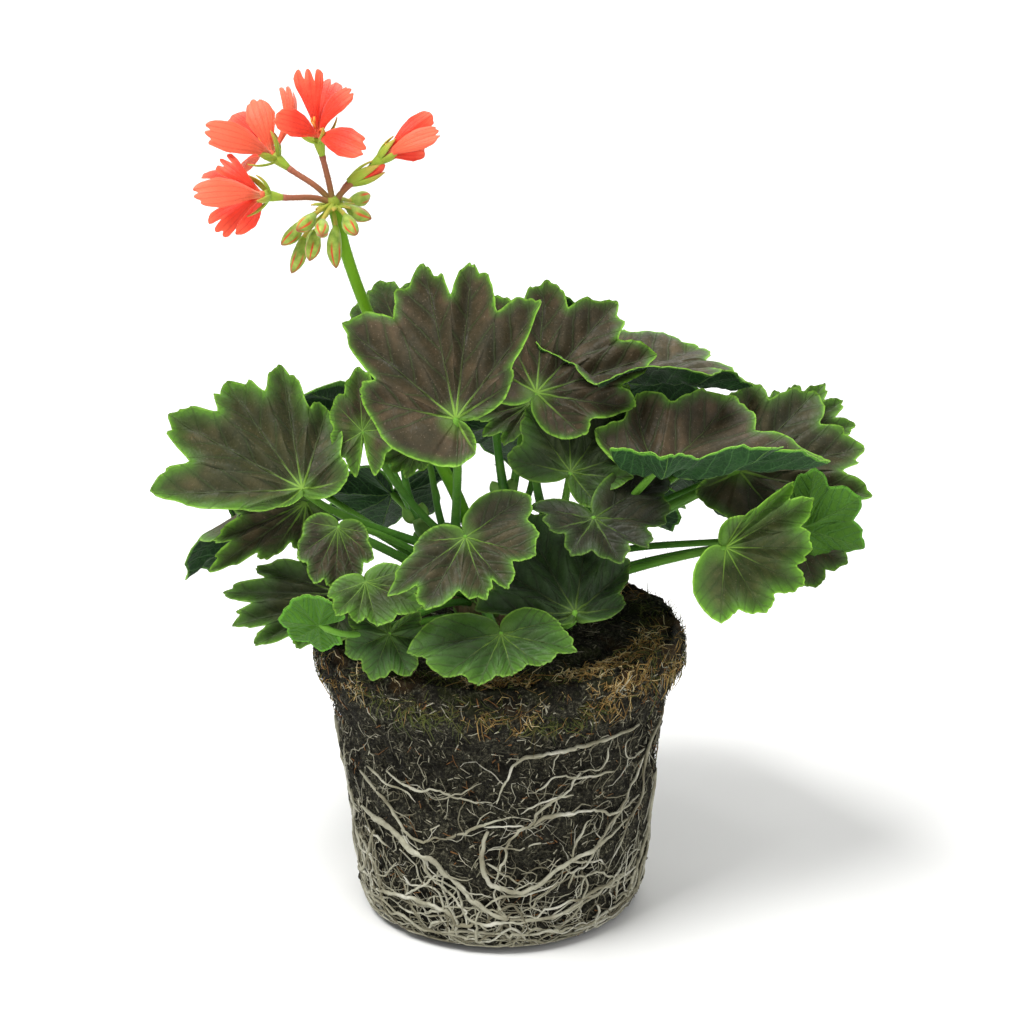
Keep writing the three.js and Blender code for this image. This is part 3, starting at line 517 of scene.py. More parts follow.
def petal_paint(name, base, middle, tip, vein):
    """Petals, which pale to their base and are lined with fine veins."""
    paint = Paint(name, roughness=0.5, specular=0.3, sheen=0.12)
    flat = paint.vector("flat")
    along, across, _ = paint.axes(flat)
    line = paint.math("SINE", across * 17 + paint.cloud(0.35, 2, flat) * 1.6).rise(0.55, 1.0)
    colour = paint.ramp(along, (0.0, *base), (0.22, *middle), (0.7, *middle), (1.0, *tip))
    colour = colour.mix(line * 0.2, vein).mix(paint.cloud(5 * MM, 3).rise(0.4, 0.8, 0, 0.3), tip)
    return paint.finish(colour, line * -0.5 + paint.cloud(0.7 * MM, 2), 0.18)


def bud_paint():
    """Green sepals closed over the petals, with the red showing along their seams."""
    paint = Paint("bud", roughness=0.55, specular=0.35, sheen=0.2)
    along, seam, _ = paint.axes(paint.vector("flat"))
    green = paint.ramp(paint.cloud(2.2 * MM, 3), (0.3, 116, 148, 44), (0.7, 174, 194, 84))
    colour = green.mix(seam.rise(0.66, 0.93) * along.rise(0.3, 0.6), (216, 56, 32))
    colour = colour.mix(along.rise(0.82, 1.0, 0.0, 0.75), (150, 62, 44))
    return paint.finish(colour, paint.cloud(0.8 * MM), 0.12)


def soil_paint():
    """Dark peat with painted shade in its hollows, and moss green and orange-brown in patches at the rim.
    """
    paint = Paint("soil", roughness=0.92, specular=0.15)
    fine = paint.cloud(1.0 * MM, 6, roughness=0.75)
    # the near-black end is painted shade in the hollows between the crumbs; the lighter levels are the
    # peat's own colour
    dark = ((0.36, 15, 14, 11), (0.48, 38, 37, 29))
    colour = paint.ramp(fine, *dark, (0.58, 80, 78, 63), (0.72, 158, 154, 132))
    colour = colour.mix(paint.cloud(6 * MM).rise(0.45, 0.62, 0, 0.75), (20, 18, 13))
    rim = paint.height().rise(0.082, 0.091)
    patch = paint.cloud(14 * MM, 2)
    colour = colour.mix(rim * patch.rise(0.54, 0.66, 0, 0.45), (56, 62, 28))
    colour = colour.mix(rim * patch.rise(0.5, 0.38, 0, 0.3), (104, 76, 44))
    return paint.finish(colour, paint.cloud(0.9 * MM, 5, roughness=0.75), 1.2)


def strand_paint(name, *stops, roughness=0.8):
    """Thin strands, each with its own tint from 0 to 1."""
    paint = Paint(name, roughness=roughness, specular=0.25)
    colour = paint.ramp(paint.value("tint"), *stops)
    colour = colour.mix(paint.cloud(1.8 * MM, 3).rise(0.35, 0.8, 0, 0.45), stops[0][1:])
    return paint.finish(colour, paint.cloud(0.5 * MM, 2), 0.12)


# The materials of each kind of piece, in the order of their numbers on it
LEAF_PAINTS = [
    leaf_top(),
    leaf_under(),
    stalk_paint("petiole", (48, 96, 28), (66, 118, 34), (102, 152, 48)),
]
LEAF_TOP, LEAF_UNDER, PETIOLE = range(3)
STEM_PAINTS = [stem_paint(), stipule_paint()]
STEM, STIPULE = range(2)
STALK_PAINTS = [
    stalk_paint("flower_stalk", (58, 118, 8), (92, 150, 8), (112, 162, 18)),
    stalk_paint("flower_branch", (112, 148, 44), (146, 96, 62), (160, 96, 74)),
    bud_paint(),
    stalk_paint("sepal", (126, 166, 46), (152, 182, 60), (186, 158, 72)),
]
STALK_GREEN, BRANCH, BUD, SEPAL = range(4)
PETAL_PAINTS = [
    petal_paint("petal_inner", (252, 150, 110), (238, 58, 34), (250, 98, 66), (196, 26, 16)),
    petal_paint("petal_outer", (255, 180, 140), (250, 102, 70), (253, 116, 84), (228, 66, 46)),
    strand_paint("anther", (0.0, 196, 60, 40), (0.6, 240, 120, 60), (1.0, 250, 170, 80)),
]
PETAL_INNER, PETAL_OUTER, ANTHER = range(3)
SOIL = soil_paint()
FIBRE = strand_paint(
    "fibre", (0.0, 18, 17, 13), (0.3, 38, 37, 28), (0.55, 84, 81, 65),
    (0.75, 156, 152, 128), (0.93, 198, 194, 172), (1.0, 132, 92, 52),
)
MOSS = strand_paint(
    "moss", (0.0, 44, 54, 22), (0.22, 98, 108, 50), (0.4, 98, 84, 48),
    (0.62, 166, 128, 70), (0.8, 204, 174, 112), (1.0, 230, 214, 168),
)
ROOT = strand_paint(
    "root", (0.0, 84, 78, 60), (0.3, 132, 128, 106), (0.65, 170, 168, 148), (1.0, 204, 202, 188),
    roughness=0.6,
)

# Leaves, in degrees of turn from the middle lobe: the main veins and their plain shares of the blade's
# length, the plain outline, and the notches and the gap by the petiole
LOBES = np.array([-147, -99, -47, 0, 47, 99, 147.0])
PLAIN = np.array([0.75, 0.91, 0.95, 1, 0.95, 0.91, 0.75])
MIDDLE = 3
OUTLINE = np.array([
    [0, 1.0], [11, 0.84], [17, 0.87], [25, 0.66], [33, 0.84], [47, 0.95], [53, 0.86], [60, 0.87],
    [75, 0.62], [83, 0.79], [99, 0.91], [106, 0.79], [113, 0.79], [125, 0.58], [136, 0.69],
    [147, 0.75], [156, 0.56], [167, 0.27], [180, 0.08],
])
NOTCHES_BETWEEN = [-180, -125, -75, -25, 25, 75, 125, 180]


def leaf(at, face, tone=(1, 2, 1), tips=None, spin=0, size=0, **more):
    """One row of the table of leaves, which is the part's with each leaf's colouring and painted light and
    shade added.

    at: where the petiole meets the blade
    face: the heading and the height, in degrees, of the way that the upper face looks
    tone: how bronze the blade is, how wide its green hem is in millimetres, and its painted light and
    shade, as a share that makes it lighter above 1 and darker below 1
    tips: the direction and length of each lobe; a leaf that has none of its own has the plain ones, with
        the middle lobe's direction spin and length size
    cup, curl, back: how it bends across, towards its tip and towards its back edge
    fold, wave, cut: how it folds up at the middle, waves at its edge and is cut between the lobes
    """
    if tips is None:
        tips = [[spin - turn, share * size] for turn, share in zip(LOBES, PLAIN)]
    tips = np.array(tips, float)
    row = dict(cup=0, curl=0, back=0, fold=5, wave=0.05, cut=0.8, face=face, tone=tone)
    place = dict(at=np.array(at, float), tips=tips, spin=tips[MIDDLE, 0], size=tips[MIDDLE, 1])
    return {**row, **place, **more}


# The third tone value of each leaf is painted light and shade: below 1 for a leaf in shade, above 1 for a
# well lit one
LEAVES = [
    leaf(sight(454, 611, -42), [-90, 22], (1, 1.3, 1), cup=0.3, curl=-0.1, back=1.2,
         tips=[[299, 12], [168, 28], [139.5, 43], [101.5, 47], [84, 46], [53, 42], [33, 19]]),
    leaf(sight(342, 662, -28), [-85, 36], (0.85, 2.4, 0.95), cup=0.1,
         tips=[[215, 9], [180, 45], [148, 46], [122, 41], [97, 40], [72, 27], [12, 14]]),
    leaf(sight(513, 592, -12), [-95, 28], (1, 1.3, 0.95), cup=0.1,
         tips=[[150, 30], [118, 33], [88, 34], [52, 37], [20, 38], [-8, 30], [-42, 20]]),
    leaf(sight(568, 577, 12), [-90, 97], (0.95, 1.6, 1), spin=0, size=44, cup=0.2, back=1.6),
    leaf(sight(603, 645, -30), [-90, 88], (1, 1.6, 1.02), cup=1.7, back=1.6,
         tips=[[150, 24], [107, 30], [55, 40], [8, 52], [-39, 40], [-91, 30], [-139, 26]]),
    leaf(sight(555, 683, -38), [-85, 62], (0.8, 1.6, 0.38), cup=-0.3,
         tips=[[400, 34], [362, 22], [322, 19], [290, 19], [236, 15], [195, 14], [160, 20]]),
    leaf(sight(538, 650, -22), [-95, 35], (0.5, 3.2, 0.58), cup=0.1,
         tips=[[168, 20], [127, 24], [95, 30], [60, 33], [22, 20], [-5, 19], [-50, 14]]),
    leaf(sight(461, 697, -46), [-85, 45], (0.9, 1.6, 0.82), cup=-0.2,
         tips=[[396, 25], [344, 21], [306, 20], [285, 20], [240, 26], [215, 29], [180, 14]]),
    leaf(sight(541, 752, -42), [-90, 50], (0.12, 2, 0.4), cup=0.1,
         tips=[[200, 11], [178, 30], [146, 36], [115, 38], [82, 34], [45, 24], [8, 15]]),
    leaf(sight(487, 768, -52), [-90, 60], (0.3, 5, 0.66), cup=-0.2, curl=-0.2, cut=0.4,
         tips=[[382, 18], [351, 23], [318, 16], [284, 14], [248, 18], [218, 22], [187, 28]]),
    leaf(sight(651, 705, -28), [-92, 22], (0.7, 2.8, 1.35), cup=0.2, cut=0.6,
         tips=[[60, 11], [46, 28], [30, 30], [0, 26], [-25, 26], [-60, 23], [-94, 23]]),
    leaf(sight(661, 649, 4), [-92, 35], (0.9, 1.8, 0.85), cup=0.1,
         tips=[[130, 20], [85, 28], [48, 36], [12, 40], [-12, 41], [-50, 26], [-155, 15]]),
    leaf(sight(692, 625, 18), [-90, 35], (0.85, 2.2, 0.85),
         tips=[[130, 12], [98, 16], [76, 18], [52, 23], [32, 23], [10, 24], [-14, 21]]),
    leaf(sight(707, 690, -12), [95, 12], (0.1, 3, 0.8), spin=200, size=21, cup=0.5),
    leaf(sight(704, 699, -6), [-90, 30], (0.9, 1.6, 0.75), spin=-25, size=17),
    leaf(sight(345, 672, -14), [-95, 30], (0.95, 1.6, 1),
         tips=[[300, 12], [262, 14], [238, 20], [217, 37], [204, 30], [185, 22], [160, 14]]),
    leaf(sight(368, 690, -34), [-90, 25], (0.95, 1.3, 0.78), cut=0.5,
         tips=[[350, 9], [320, 14], [290, 17], [268, 19], [245, 18], [215, 15], [170, 10]]),
    leaf(sight(372, 738, -26), [-90, 40], (0.7, 2.6, 0.66),
         tips=[[262, 16], [235, 22], [212, 31], [196, 35], [178, 37], [160, 28], [130, 15]]),
    leaf(sight(388, 730, -44), [-90, 45], (0.75, 3.4, 0.85), cut=0.5,
         tips=[[20, 12], [-10, 17], [-25, 19], [-75, 14], [-100, 13], [-128, 14], [-160, 12]]),
    leaf(sight(386, 620, -16), [-100, 25], (1, 2, 1.1), fold=20,
         tips=[[265, 14], [215, 10], [140, 13], [99, 20], [60, 18], [8, 14], [-71, 14]]),
    leaf(sight(427, 630, -6), [-90, 20], (0.8, 2.4, 0.95),
         tips=[[280, 8], [250, 11], [225, 12], [205, 13], [185, 13], [160, 10], [120, 6]]),
    leaf(sight(354, 761, -46), [80, 20], (0.05, 8, 1.0), spin=10, size=12, cut=0.4),
    leaf(sight(508, 600, 18), [-90, 40], (0.9, 2, 0.85),
         tips=[[270, 12], [240, 16], [215, 18], [195, 18], [170, 16], [140, 14], [100, 10]]),
    leaf(sight(412, 545, 16), [-95, 35], (0.85, 2, 0.75), spin=115, size=17),
    leaf(sight(405, 768, -44), [-90, 35], (0.2, 3, 0.6), spin=250, size=15),
    leaf([-46, 46, 152], [120, 52], (0.95, 2.5, 0.95), spin=250, size=42, cup=-0.3),
    leaf([8, 68, 140], [88, 48], (1, 2.5, 0.95), spin=275, size=42, cup=0.2),
    leaf([36, 52, 150], [68, 55], (0.9, 2.5, 0.95), spin=265, size=42, cup=-0.2),
    leaf([72, 34, 128], [30, 45], (0.8, 3, 0.9), spin=290, size=36, cup=0.3),
    leaf([-74, 22, 126], [160, 42], (0.9, 3, 0.9), spin=260, size=38, cup=-0.2),
    leaf([-4, 50, 174], [95, 60], (0.95, 2.5, 1.0), spin=265, size=36, cup=0.2),
    leaf([-36, 68, 112], [110, 40], (0.6, 5, 0.85), spin=270, size=27, cup=0.2),
    leaf([42, 72, 112], [60, 36], (0.6, 5, 0.85), spin=285, size=25, cup=-0.2),
    leaf([-66, 54, 122], [138, 40], (0.7, 4, 0.9), spin=265, size=28, cup=0.2),
    leaf([62, 62, 122], [42, 40], (0.7, 4, 0.9), spin=270, size=28, cup=-0.2),
]
# The leaves from this number on are on the far side
FAR_FROM = 25

# Shoots, as in the part: a path of four points and the radii along it
SHOOTS = [
    ([[-1, -1, 70], [-4, -3, 92], [-9, -6, 108], [-14, -8, 126]], [4.4, 4.2, 3.6, 2.6]),
    ([[1, -1, 70], [7, -2, 92], [14, -4, 106], [19, -4, 124]], [4, 3.8, 3.3, 2.4]),
    ([[0, 1, 70], [0, 9, 93], [0, 15, 108], [2, 21, 128]], [4, 3.7, 3.2, 2.4]),
    ([[1, 1, 70], [9, 5, 92], [20, 8, 106], [29, 11, 124]], [4, 3.6, 3.1, 2.3]),
    ([[-1, 1, 70], [-8, 4, 92], [-17, 6, 106], [-25, 8, 124]], [4, 3.6, 3.1, 2.3]),
]
SHOOT_LINES = [catmull(path, 200) for path, _ in SHOOTS]


def feet_of_leaves():
    """The foot of each petiole: the leaves of a shoot stand on it in the order of their height."""
    tops = np.array([path[-1] for path, _ in SHOOTS], float)
    for number, line in enumerate(SHOOT_LINES):
        own = [row for row in LEAVES if np.argmin(np.hypot(*(tops[:, :2] - row["at"][:2]).T)) == number]
        own.sort(key=lambda row: row["at"][2])
        even = spread(line, 201)
        for k, row in enumerate(own):
            share = 0.4 + 0.57 * k / max(1, len(own) - 1)
            row["foot"] = even[round(share * 200)]


feet_of_leaves()


def leaf_axes(row):
    """Ahead along the middle vein, up off the upper face, and to the side."""
    h, e = np.radians(row["face"])
    spin = math.radians(row["spin"])
    up = np.array([math.cos(e) * math.cos(h), math.cos(e) * math.sin(h), math.sin(e)])
    uphill = np.array([-math.sin(e) * math.cos(h), -math.sin(e) * math.sin(h), math.cos(e)])
    right = np.cross(uphill, up)
    ahead = right * math.cos(spin) + uphill * math.sin(spin)
    return ahead, up, np.cross(ahead, up)


def edge(row, angle):
    """The direction and the reach of a leaf's edge at angles of the plain outline."""
    turns = row["tips"][:, 0]
    lengths = row["tips"][:, 1] / PLAIN
    gap = (turns[0] + turns[6] + 360) / 2
    places = [-180, *LOBES, 180]
    turn = np.interp(angle, places, [gap, *turns, gap - 360])
    grow = np.interp(angle, places, [lengths[0], *lengths, lengths[6]])
    far = np.abs(angle)
    plain = np.interp(far, OUTLINE[:, 0], OUTLINE[:, 1])
    full = np.where(far >= LOBES[6], plain, np.interp(far, LOBES[MIDDLE:], PLAIN[MIDDLE:]))
    reach = np.where(plain < full, full - (full - plain) * row["cut"], plain)
    return turn, reach * grow


def bend(d, h, curvature):
    """Where points at distance d and height h go on a strip bent to a curvature."""
    c = np.where(np.abs(curvature) < 1e-4, 1e-4, curvature)
    a = c * d
    return np.sin(a) / c - h * np.sin(a), (1 - np.cos(a)) / c + h * np.cos(a)


def blade_points(row, angle, share, lift, x, y):
    """Points of a blade in the world, from their place on it and their lift off its middle face."""
    size = row["size"]
    fold = math.radians(row["fold"])
    pleat = -0.045 * np.hypot(x, y) * np.cos(TURN * angle / 49)
    ripple = row["wave"] * share * share * np.sin(3 * np.arctan2(x, y) + row["phase"])
    open_up = np.sqrt(x * x + 0.01) - 0.1
    z = pleat + ripple + open_up * math.sin(fold) + lift / size
    x, z = bend(x * math.cos(fold), z, row["cup"])
    y, z = bend(y, z, np.where(y > 0, row["curl"], row["back"]))
    ahead, up, side = leaf_axes(row)
    return row["at"] + size * (x[..., None] * side + y[..., None] * ahead + z[..., None] * up)


# Side veins: how far apart they leave a main vein, as a share of its length, the slope at which they
# leave it, and how far apart they lie at that slope, as a share of the distance along the main vein
SIDE_VEINS_APART = 0.2
SIDE_VEIN_SLOPE = 1.3
APART_ON_SLOPE = 0.61


def side_vein_place(across, along, length):
    """Which side vein a point is nearest, as a running number, and how far apart the veins lie."""
    spacing = length * SIDE_VEINS_APART
    start = along - np.abs(across) * SIDE_VEIN_SLOPE - across**2 / length * 0.5
    phase = start / spacing - 0.2 + np.where(across > 0, 0.45, 0)
    return phase, spacing * APART_ON_SLOPE


# A blade's thickness, and the columns in each half of a lobe and the rings of a fine or a coarse blade,
# with the length from which a blade that is seen is fine
BLADE = 0.5
FINE_FROM = 26
FINE = (13, 27)
COARSE = (9, 15)


def blade_grid(count):
    """Angles and lobes of a blade's columns, with a column on every vein and two at every notch."""
    angles = []
    t = np.linspace(0, 1, count)
    for low, vein, high in zip(NOTCHES_BETWEEN, LOBES, NOTCHES_BETWEEN[1:]):
        angles += [low + (vein - low) * (1 - (1 - t) ** 1.1), vein + (high - vein) * t[1:] ** 1.1]
    return np.concatenate(angles), np.repeat(np.arange(len(LOBES)), 2 * count - 1)


# The blade's edge is worked out every half degree and smoothed over a few degrees
EDGE_STEP = 0.5
SMOOTH_STEPS = 16
SMOOTH_DEGREES = 2.2


def soft_edge(row, number, angles):
    """The leaf's edge with rounded lobe tips and a run of small uneven teeth."""
    fine = np.arange(-180, 180.25, EDGE_STEP)
    turn, reach = edge(row, fine)
    span = np.arange(-SMOOTH_STEPS, SMOOTH_STEPS + 1) * EDGE_STEP
    weights = np.exp(-((span / SMOOTH_DEGREES) ** 2))
    reach = np.convolve(np.pad(reach, SMOOTH_STEPS, "edge"), weights / weights.sum(), mode="valid")
    place = joined(fine / 9, number * 3.1, 0)
    teeth = np.abs(np.sin(math.pi * fine / 8.6 + 1.8 * noise(place, 1))) ** 0.7
    fade = smoothstep(0, 8, 180 - np.abs(fine))
    reach = reach * (1 + fade * (0.028 * teeth - 0.01 + 0.012 * noise(place, 0.6, 4.4)))
    return np.interp(angles, fine, turn), np.interp(angles, fine, reach)


def distance_to_outline(points, outline):
    """The distance from each flat point to a closed outline."""
    d = np.roll(outline, -1, axis=0) - outline
    length = np.maximum(np.sum(d * d, axis=1), 1e-9)
    rel = points[:, None] - outline[None]
    t = np.clip(np.sum(rel * d[None], axis=2) / length, 0, 1)
    return np.sqrt(np.min(np.sum((rel - t[..., None] * d[None]) ** 2, axis=2), axis=1))


# The length of the blade that the sizes of the relief are given for
RELIEF_SPAN = 45


def relief_of(flat, across, phase, spacing, rim, shares, span, number):
    """How a blade swells between its veins, is drawn in along them, and waves at its edge."""
    side_off = np.abs((phase + 0.5) % 1 - 0.5) * spacing
    place = joined(flat[..., 0], flat[..., 1], 10.0 * number)
    k = span / RELIEF_SPAN
    main = -1.7 * np.exp(-((across / (3.0 * k)) ** 2))
    side = -0.95 * smoothstep(0.35, 0.9, phase) * np.exp(-((side_off / (1.7 * k)) ** 2))
    swell = 0.8 * noise(place, 9.5 * k) + 0.45 * noise(place, 4.8 * k) + 0.14 * noise(place, 2.4)
    inside = smoothstep(-1, 4, rim) * smoothstep(0.0, 0.22, shares)
    crimp = 1.0 * smoothstep(8, 0, rim) * noise(place, 8, 7.3)
    return ((0.3 + 0.7 * inside) * (main + side + swell + 0.5) + crimp) * min(1, k**1.3)


def add_blade(shape, row, number):
    """A thin blade with veins in relief, with its upper face, its lower face and the wall at its rim."""
    span = row["tips"][:, 1].max()
    half_lobe, rings = FINE if span > FINE_FROM and number < FAR_FROM else COARSE
    angles, lobes = blade_grid(half_lobe)
    columns = len(angles)
    shares = 1 - (1 - np.linspace(0, 1, rings)[:, None]) ** 1.15
    shares[0] = 0.02
    turn, reach = soft_edge(row, number, angles)
    t = np.radians(row["spin"] - turn)
    x = shares * reach * np.sin(t) / row["size"]
    y = shares * reach * np.cos(t) / row["size"]
    flat = joined(x, y) * row["size"]
    rim = distance_to_outline(flat.reshape(-1, 2), flat[-1]).reshape(rings, columns)
    # each point's place in its lobe
    lobe_turn = np.radians(row["spin"] - row["tips"][lobes, 0])
    across = flat[..., 0] * np.cos(lobe_turn) - flat[..., 1] * np.sin(lobe_turn)
    along = flat[..., 0] * np.sin(lobe_turn) + flat[..., 1] * np.cos(lobe_turn)
    across = np.where(np.isin(angles, LOBES), 0.0, across)
    phase, spacing = side_vein_place(across, along, np.maximum(row["tips"][lobes, 1], 8))
    relief = relief_of(flat, across, phase, spacing, rim, shares, span, number)
    thin = BLADE / 2 * (0.55 + 0.45 * smoothstep(0, 1.2, rim))
    rib = 0.45 * np.exp(-((np.abs(across) / 0.7) ** 2)) * (1 - shares * 0.7) * smoothstep(0.0, 0.1, shares)
    lifts = (relief + thin, relief - thin - rib)
    points = [blade_points(row, angles, shares, lift, x, y) for lift in lifts]
    count = rings * columns
    quads = grid_quads(rings, columns, wrap=True)
    rim_row = count - columns + np.arange(columns)
    after = np.roll(rim_row, -1)
    wall = np.stack([rim_row, after, count + after, count + rim_row], axis=1)
    hub = np.arange(columns)[None]
    # veins look thinner on small leaves
    across = across / min(1, (span / 40) ** 1.5)
    shape.add(
        points,
        [quads[:, ::-1], quads + count, wall, hub, hub[:, ::-1] + count],
        [LEAF_TOP, LEAF_UNDER, LEAF_TOP, LEAF_TOP, LEAF_UNDER],
        rim=np.tile(rim.ravel(), 2),
        flat=np.tile(joined(flat[..., 0], flat[..., 1], 0).reshape(-1, 3), (2, 1)),
        vein=np.tile(joined(across, phase, spacing).reshape(-1, 3), (2, 1)),
        tone=row["tone"],
    )


# Petioles: the points along one, and its radii at foot and head on a small and on a large leaf
PETIOLE_STEPS = 26
LARGE_FROM = 24
SMALL_PETIOLE = (1.2, 0.9)
LARGE_PETIOLE = (1.6, 1.1)


def add_petiole(shape, row, number):
    """The petiole, from its foot on the shoot to the blade, with its hairs."""
    head = blade_points(row, *np.zeros((5, 1)))[0]
    ahead, up, _ = leaf_axes(row)
    foot = row["foot"]
    out = head - foot
    far = np.linalg.norm(out)
    leaving = np.array([out[0], out[1], 0])
    leaving *= 0.28 * far / np.linalg.norm(leaving)
    leaving[2] = 0.2 * far
    arriving = unit(0.75 * up + 0.45 * ahead + 0.7 * unit(out)) * 0.33 * far
    line = bezier(foot, foot + leaving, head - arriving, head, PETIOLE_STEPS)
    radii = np.linspace(*(SMALL_PETIOLE if row["size"] < LARGE_FROM else LARGE_PETIOLE), PETIOLE_STEPS)
    radii[0] *= 1.15
    radii[-2:] *= (1.15, 0.6)
    sway = noise(line, 14, number) * 0.1
    tint = np.linspace(0, 1, PETIOLE_STEPS)
    off_blade = {"rim": 5.0, "flat": (0, 0, 0), "vein": (5, 0, 1), "tone": row["tone"]}
    shape.tubes(line, radii * (1 + sway), 9, PETIOLE, tint=tint, **off_blade)
    random = np.random.default_rng(100 + number)
    hairs(shape, random, line, radii, 130 if far > 40 else 70, (0.5, 1.3), PETIOLE, tint, **off_blade)


def hairs(shape, random, line, radii, count, long, paint, tint, **values):
    """Short soft hairs that stand off a stalk."""
    at = random.uniform(0.05, 0.97, count) * (len(line) - 1)
    k = at.astype(int)
    w = (at - k)[:, None]
    after = np.minimum(k + 1, len(line) - 1)
    point = line[k] * (1 - w) + line[after] * w
    ahead = unit(line[after] - line[np.maximum(after - 1, 0)])
    off = random.normal(size=(count, 3))
    off = unit(off - np.sum(off * ahead, axis=1, keepdims=True) * ahead)
    root = point + off * (radii[k] * 0.9)[:, None]
    tip = root + unit(off + 0.35 * ahead) * random.uniform(*long, count)[:, None]
    shape.tubes(np.stack([root, tip], axis=1), [0.07, 0.02], 3, paint, tint=tint[k], **values)


for number, row in enumerate(LEAVES):
    row["phase"] = 1.7 * number
    shape = Shape("rim", "flat", "vein", "tone", "tint")
    add_blade(shape, row, number)
    add_petiole(shape, row, number)
    shape.build(f"foliage_{number + 1:02d}", LEAF_PAINTS, [f"leaf_{number + 1:02d}"])

# Shoots: knobbly stems with leaf scars, and papery stipules at the feet of the leaves
SHOOT_STEPS = 44
SHOOT_SIDES = 20
STIPULE_LONG = 5.5
STIPULE_HALF = 2.1


def build_stems():
    """The shoots, roughened, with two stipules at the foot of each leaf."""
    shape = Shape("tint")
    u = np.linspace(0, 1, SHOOT_STEPS)
    for number, ((_, radii), line) in enumerate(zip(SHOOTS, SHOOT_LINES)):
        line = spread(line, SHOOT_STEPS)
        thick = np.interp(u, np.linspace(0, 1, len(radii)), radii)
        knots = 1 + 0.1 * np.maximum(0, np.sin(TURN * u * 6 + number)) ** 4
        points, faces = tube_mesh(line[None], (thick * knots)[None], SHOOT_SIDES)
        out = unit(points - np.repeat(line, SHOOT_SIDES, axis=0))
        points = points + out * (0.35 * noise(points, 2.6) + 0.2 * noise(points, 1.2))[:, None]
        shape.add(points, faces, STEM, tint=np.repeat(u, SHOOT_SIDES))
    for number, row in enumerate(LEAVES):
        out = row["at"] - row["foot"]
        way = unit([out[0], out[1], 0.25 * np.linalg.norm(out[:2])])
        for turn in (-1, 1):
            side = unit(np.cross(way, UP)) * turn
            root = row["foot"] + way * 1.6 + side * 1.4
            stipule(shape, root, unit(way * 0.8 + side * 0.5 + 0.9 * UP), side, number)
    shape.build("shoots", STEM_PAINTS, ["stems"])


def stipule(shape, root, ahead, side, seed):
    """A small papery ear: a pointed oval, hollowed towards the stem."""
    up = unit(np.cross(side, ahead))
    side = np.cross(ahead, up)
    u = np.linspace(0, 1, 8)[:, None]
    v = np.linspace(-1, 1, 7)[None]
    half = STIPULE_HALF * np.sin(math.pi * np.clip(0.12 + 0.88 * u, 0, 1)) ** 0.7 + 0.05
    lift = 0.7 * v * v * half * 0.5 + 0.8 * u * u + 0.15 * np.sin(5 * u + 3 * v + seed)
    points, faces = sheet(root, (ahead, side, up), u * STIPULE_LONG, v * half, lift, 0.12)
    shape.add(points, [group[:, ::-1] for group in faces], STIPULE, tint=1.0)


build_stems()

# The root ball: its turned profile as radius and height, and the slots at its foot
BALL_PROFILE = np.array([
    [22, 0], [39, 0], [43.4, 2.2], [45.4, 10], [46.8, 22], [47.8, 34], [49, 46], [50.2, 58],
    [51.6, 68], [54.2, 75.5], [57.2, 81], [57.8, 88], [55, 92.6], [48, 92], [36, 90], [20, 90.5], [0, 91],
])
NOTCHES = 6
NOTCH = dict(wide=15, high=3, near=37)
# The stretch of the profile that is its side, where its top begins, and the spacing of its points
SIDE = BALL_PROFILE[2:12]
TOP_FROM = 12
BALL_COLUMNS = 270
BALL_ROW = 1.1


def bump(azimuth, height):
    """How far the moulded face stands out, with the azimuth in radians."""
    slow = np.sin(3 * azimuth + height / 17) + 0.6 * np.sin(2 * azimuth + height / 14 + 1)
    return 0.4 * (slow + 0.5 * np.sin(5 * azimuth - height / 13 + 2))


def side_radius(azimuth, height):
    return np.interp(height, SIDE[:, 1], SIDE[:, 0]) + bump(azimuth, height)


def on_side(azimuth, height, out=0.0):
    """Points of the ball's side, by azimuth in radians and height, standing out by a distance."""
    return around(side_radius(azimuth, height) + out, azimuth, height)


def build_ball():
    """The ball of peat: the part's turned shape, crumbled by noise."""
    along = lengths_along(BALL_PROFILE)
    at = np.linspace(0, along[-1] - 1.5, int(along[-1] / BALL_ROW))[:, None]
    radius = np.interp(at, along, BALL_PROFILE[:, 0])
    height = np.interp(at, along, BALL_PROFILE[:, 1])
    azimuth = (TURN * np.arange(BALL_COLUMNS) / BALL_COLUMNS)[None]
    swell = bump(azimuth, height) * (at > along[1])
    on_top = at > along[TOP_FROM]
    p = around(radius + np.where(on_top, 0, swell), azimuth, height + np.where(on_top, 0.9 * swell, 0))
    rough = 0.9 * noise(p, 9) + 1.1 * noise(p, 4.2) + 1.0 * noise(p, 2.2) + 0.6 * noise(p, 1.2) - 0.8
    rough = np.where(height < 0.3, 0, rough * (smoothstep(0, 3, height) * 0.75 + 0.25))
    p = p + np.where(on_top[..., None], UP, around(1, azimuth, 0)) * rough[..., None]
    # slots that the feet of the pot pressed into the bottom edge
    for k in range(NOTCHES):
        turn = -TURN / 4 + TURN * k / NOTCHES
        ahead = p[..., 0] * math.cos(turn) + p[..., 1] * math.sin(turn)
        aside = -p[..., 0] * math.sin(turn) + p[..., 1] * math.cos(turn)
        inside = (ahead > NOTCH["near"]) & (np.abs(aside) < NOTCH["wide"] / 2)
        p[..., 2] = np.where(inside, np.maximum(p[..., 2], NOTCH["high"]), p[..., 2])
    p[..., 2] = np.maximum(p[..., 2], 0)
    shape = Shape("tint")
    shape.add(p, [grid_quads(len(p), BALL_COLUMNS, wrap=True), end_caps(len(p), BALL_COLUMNS)])
    shape.build("peat", [SOIL], ["root_ball"])


build_ball()


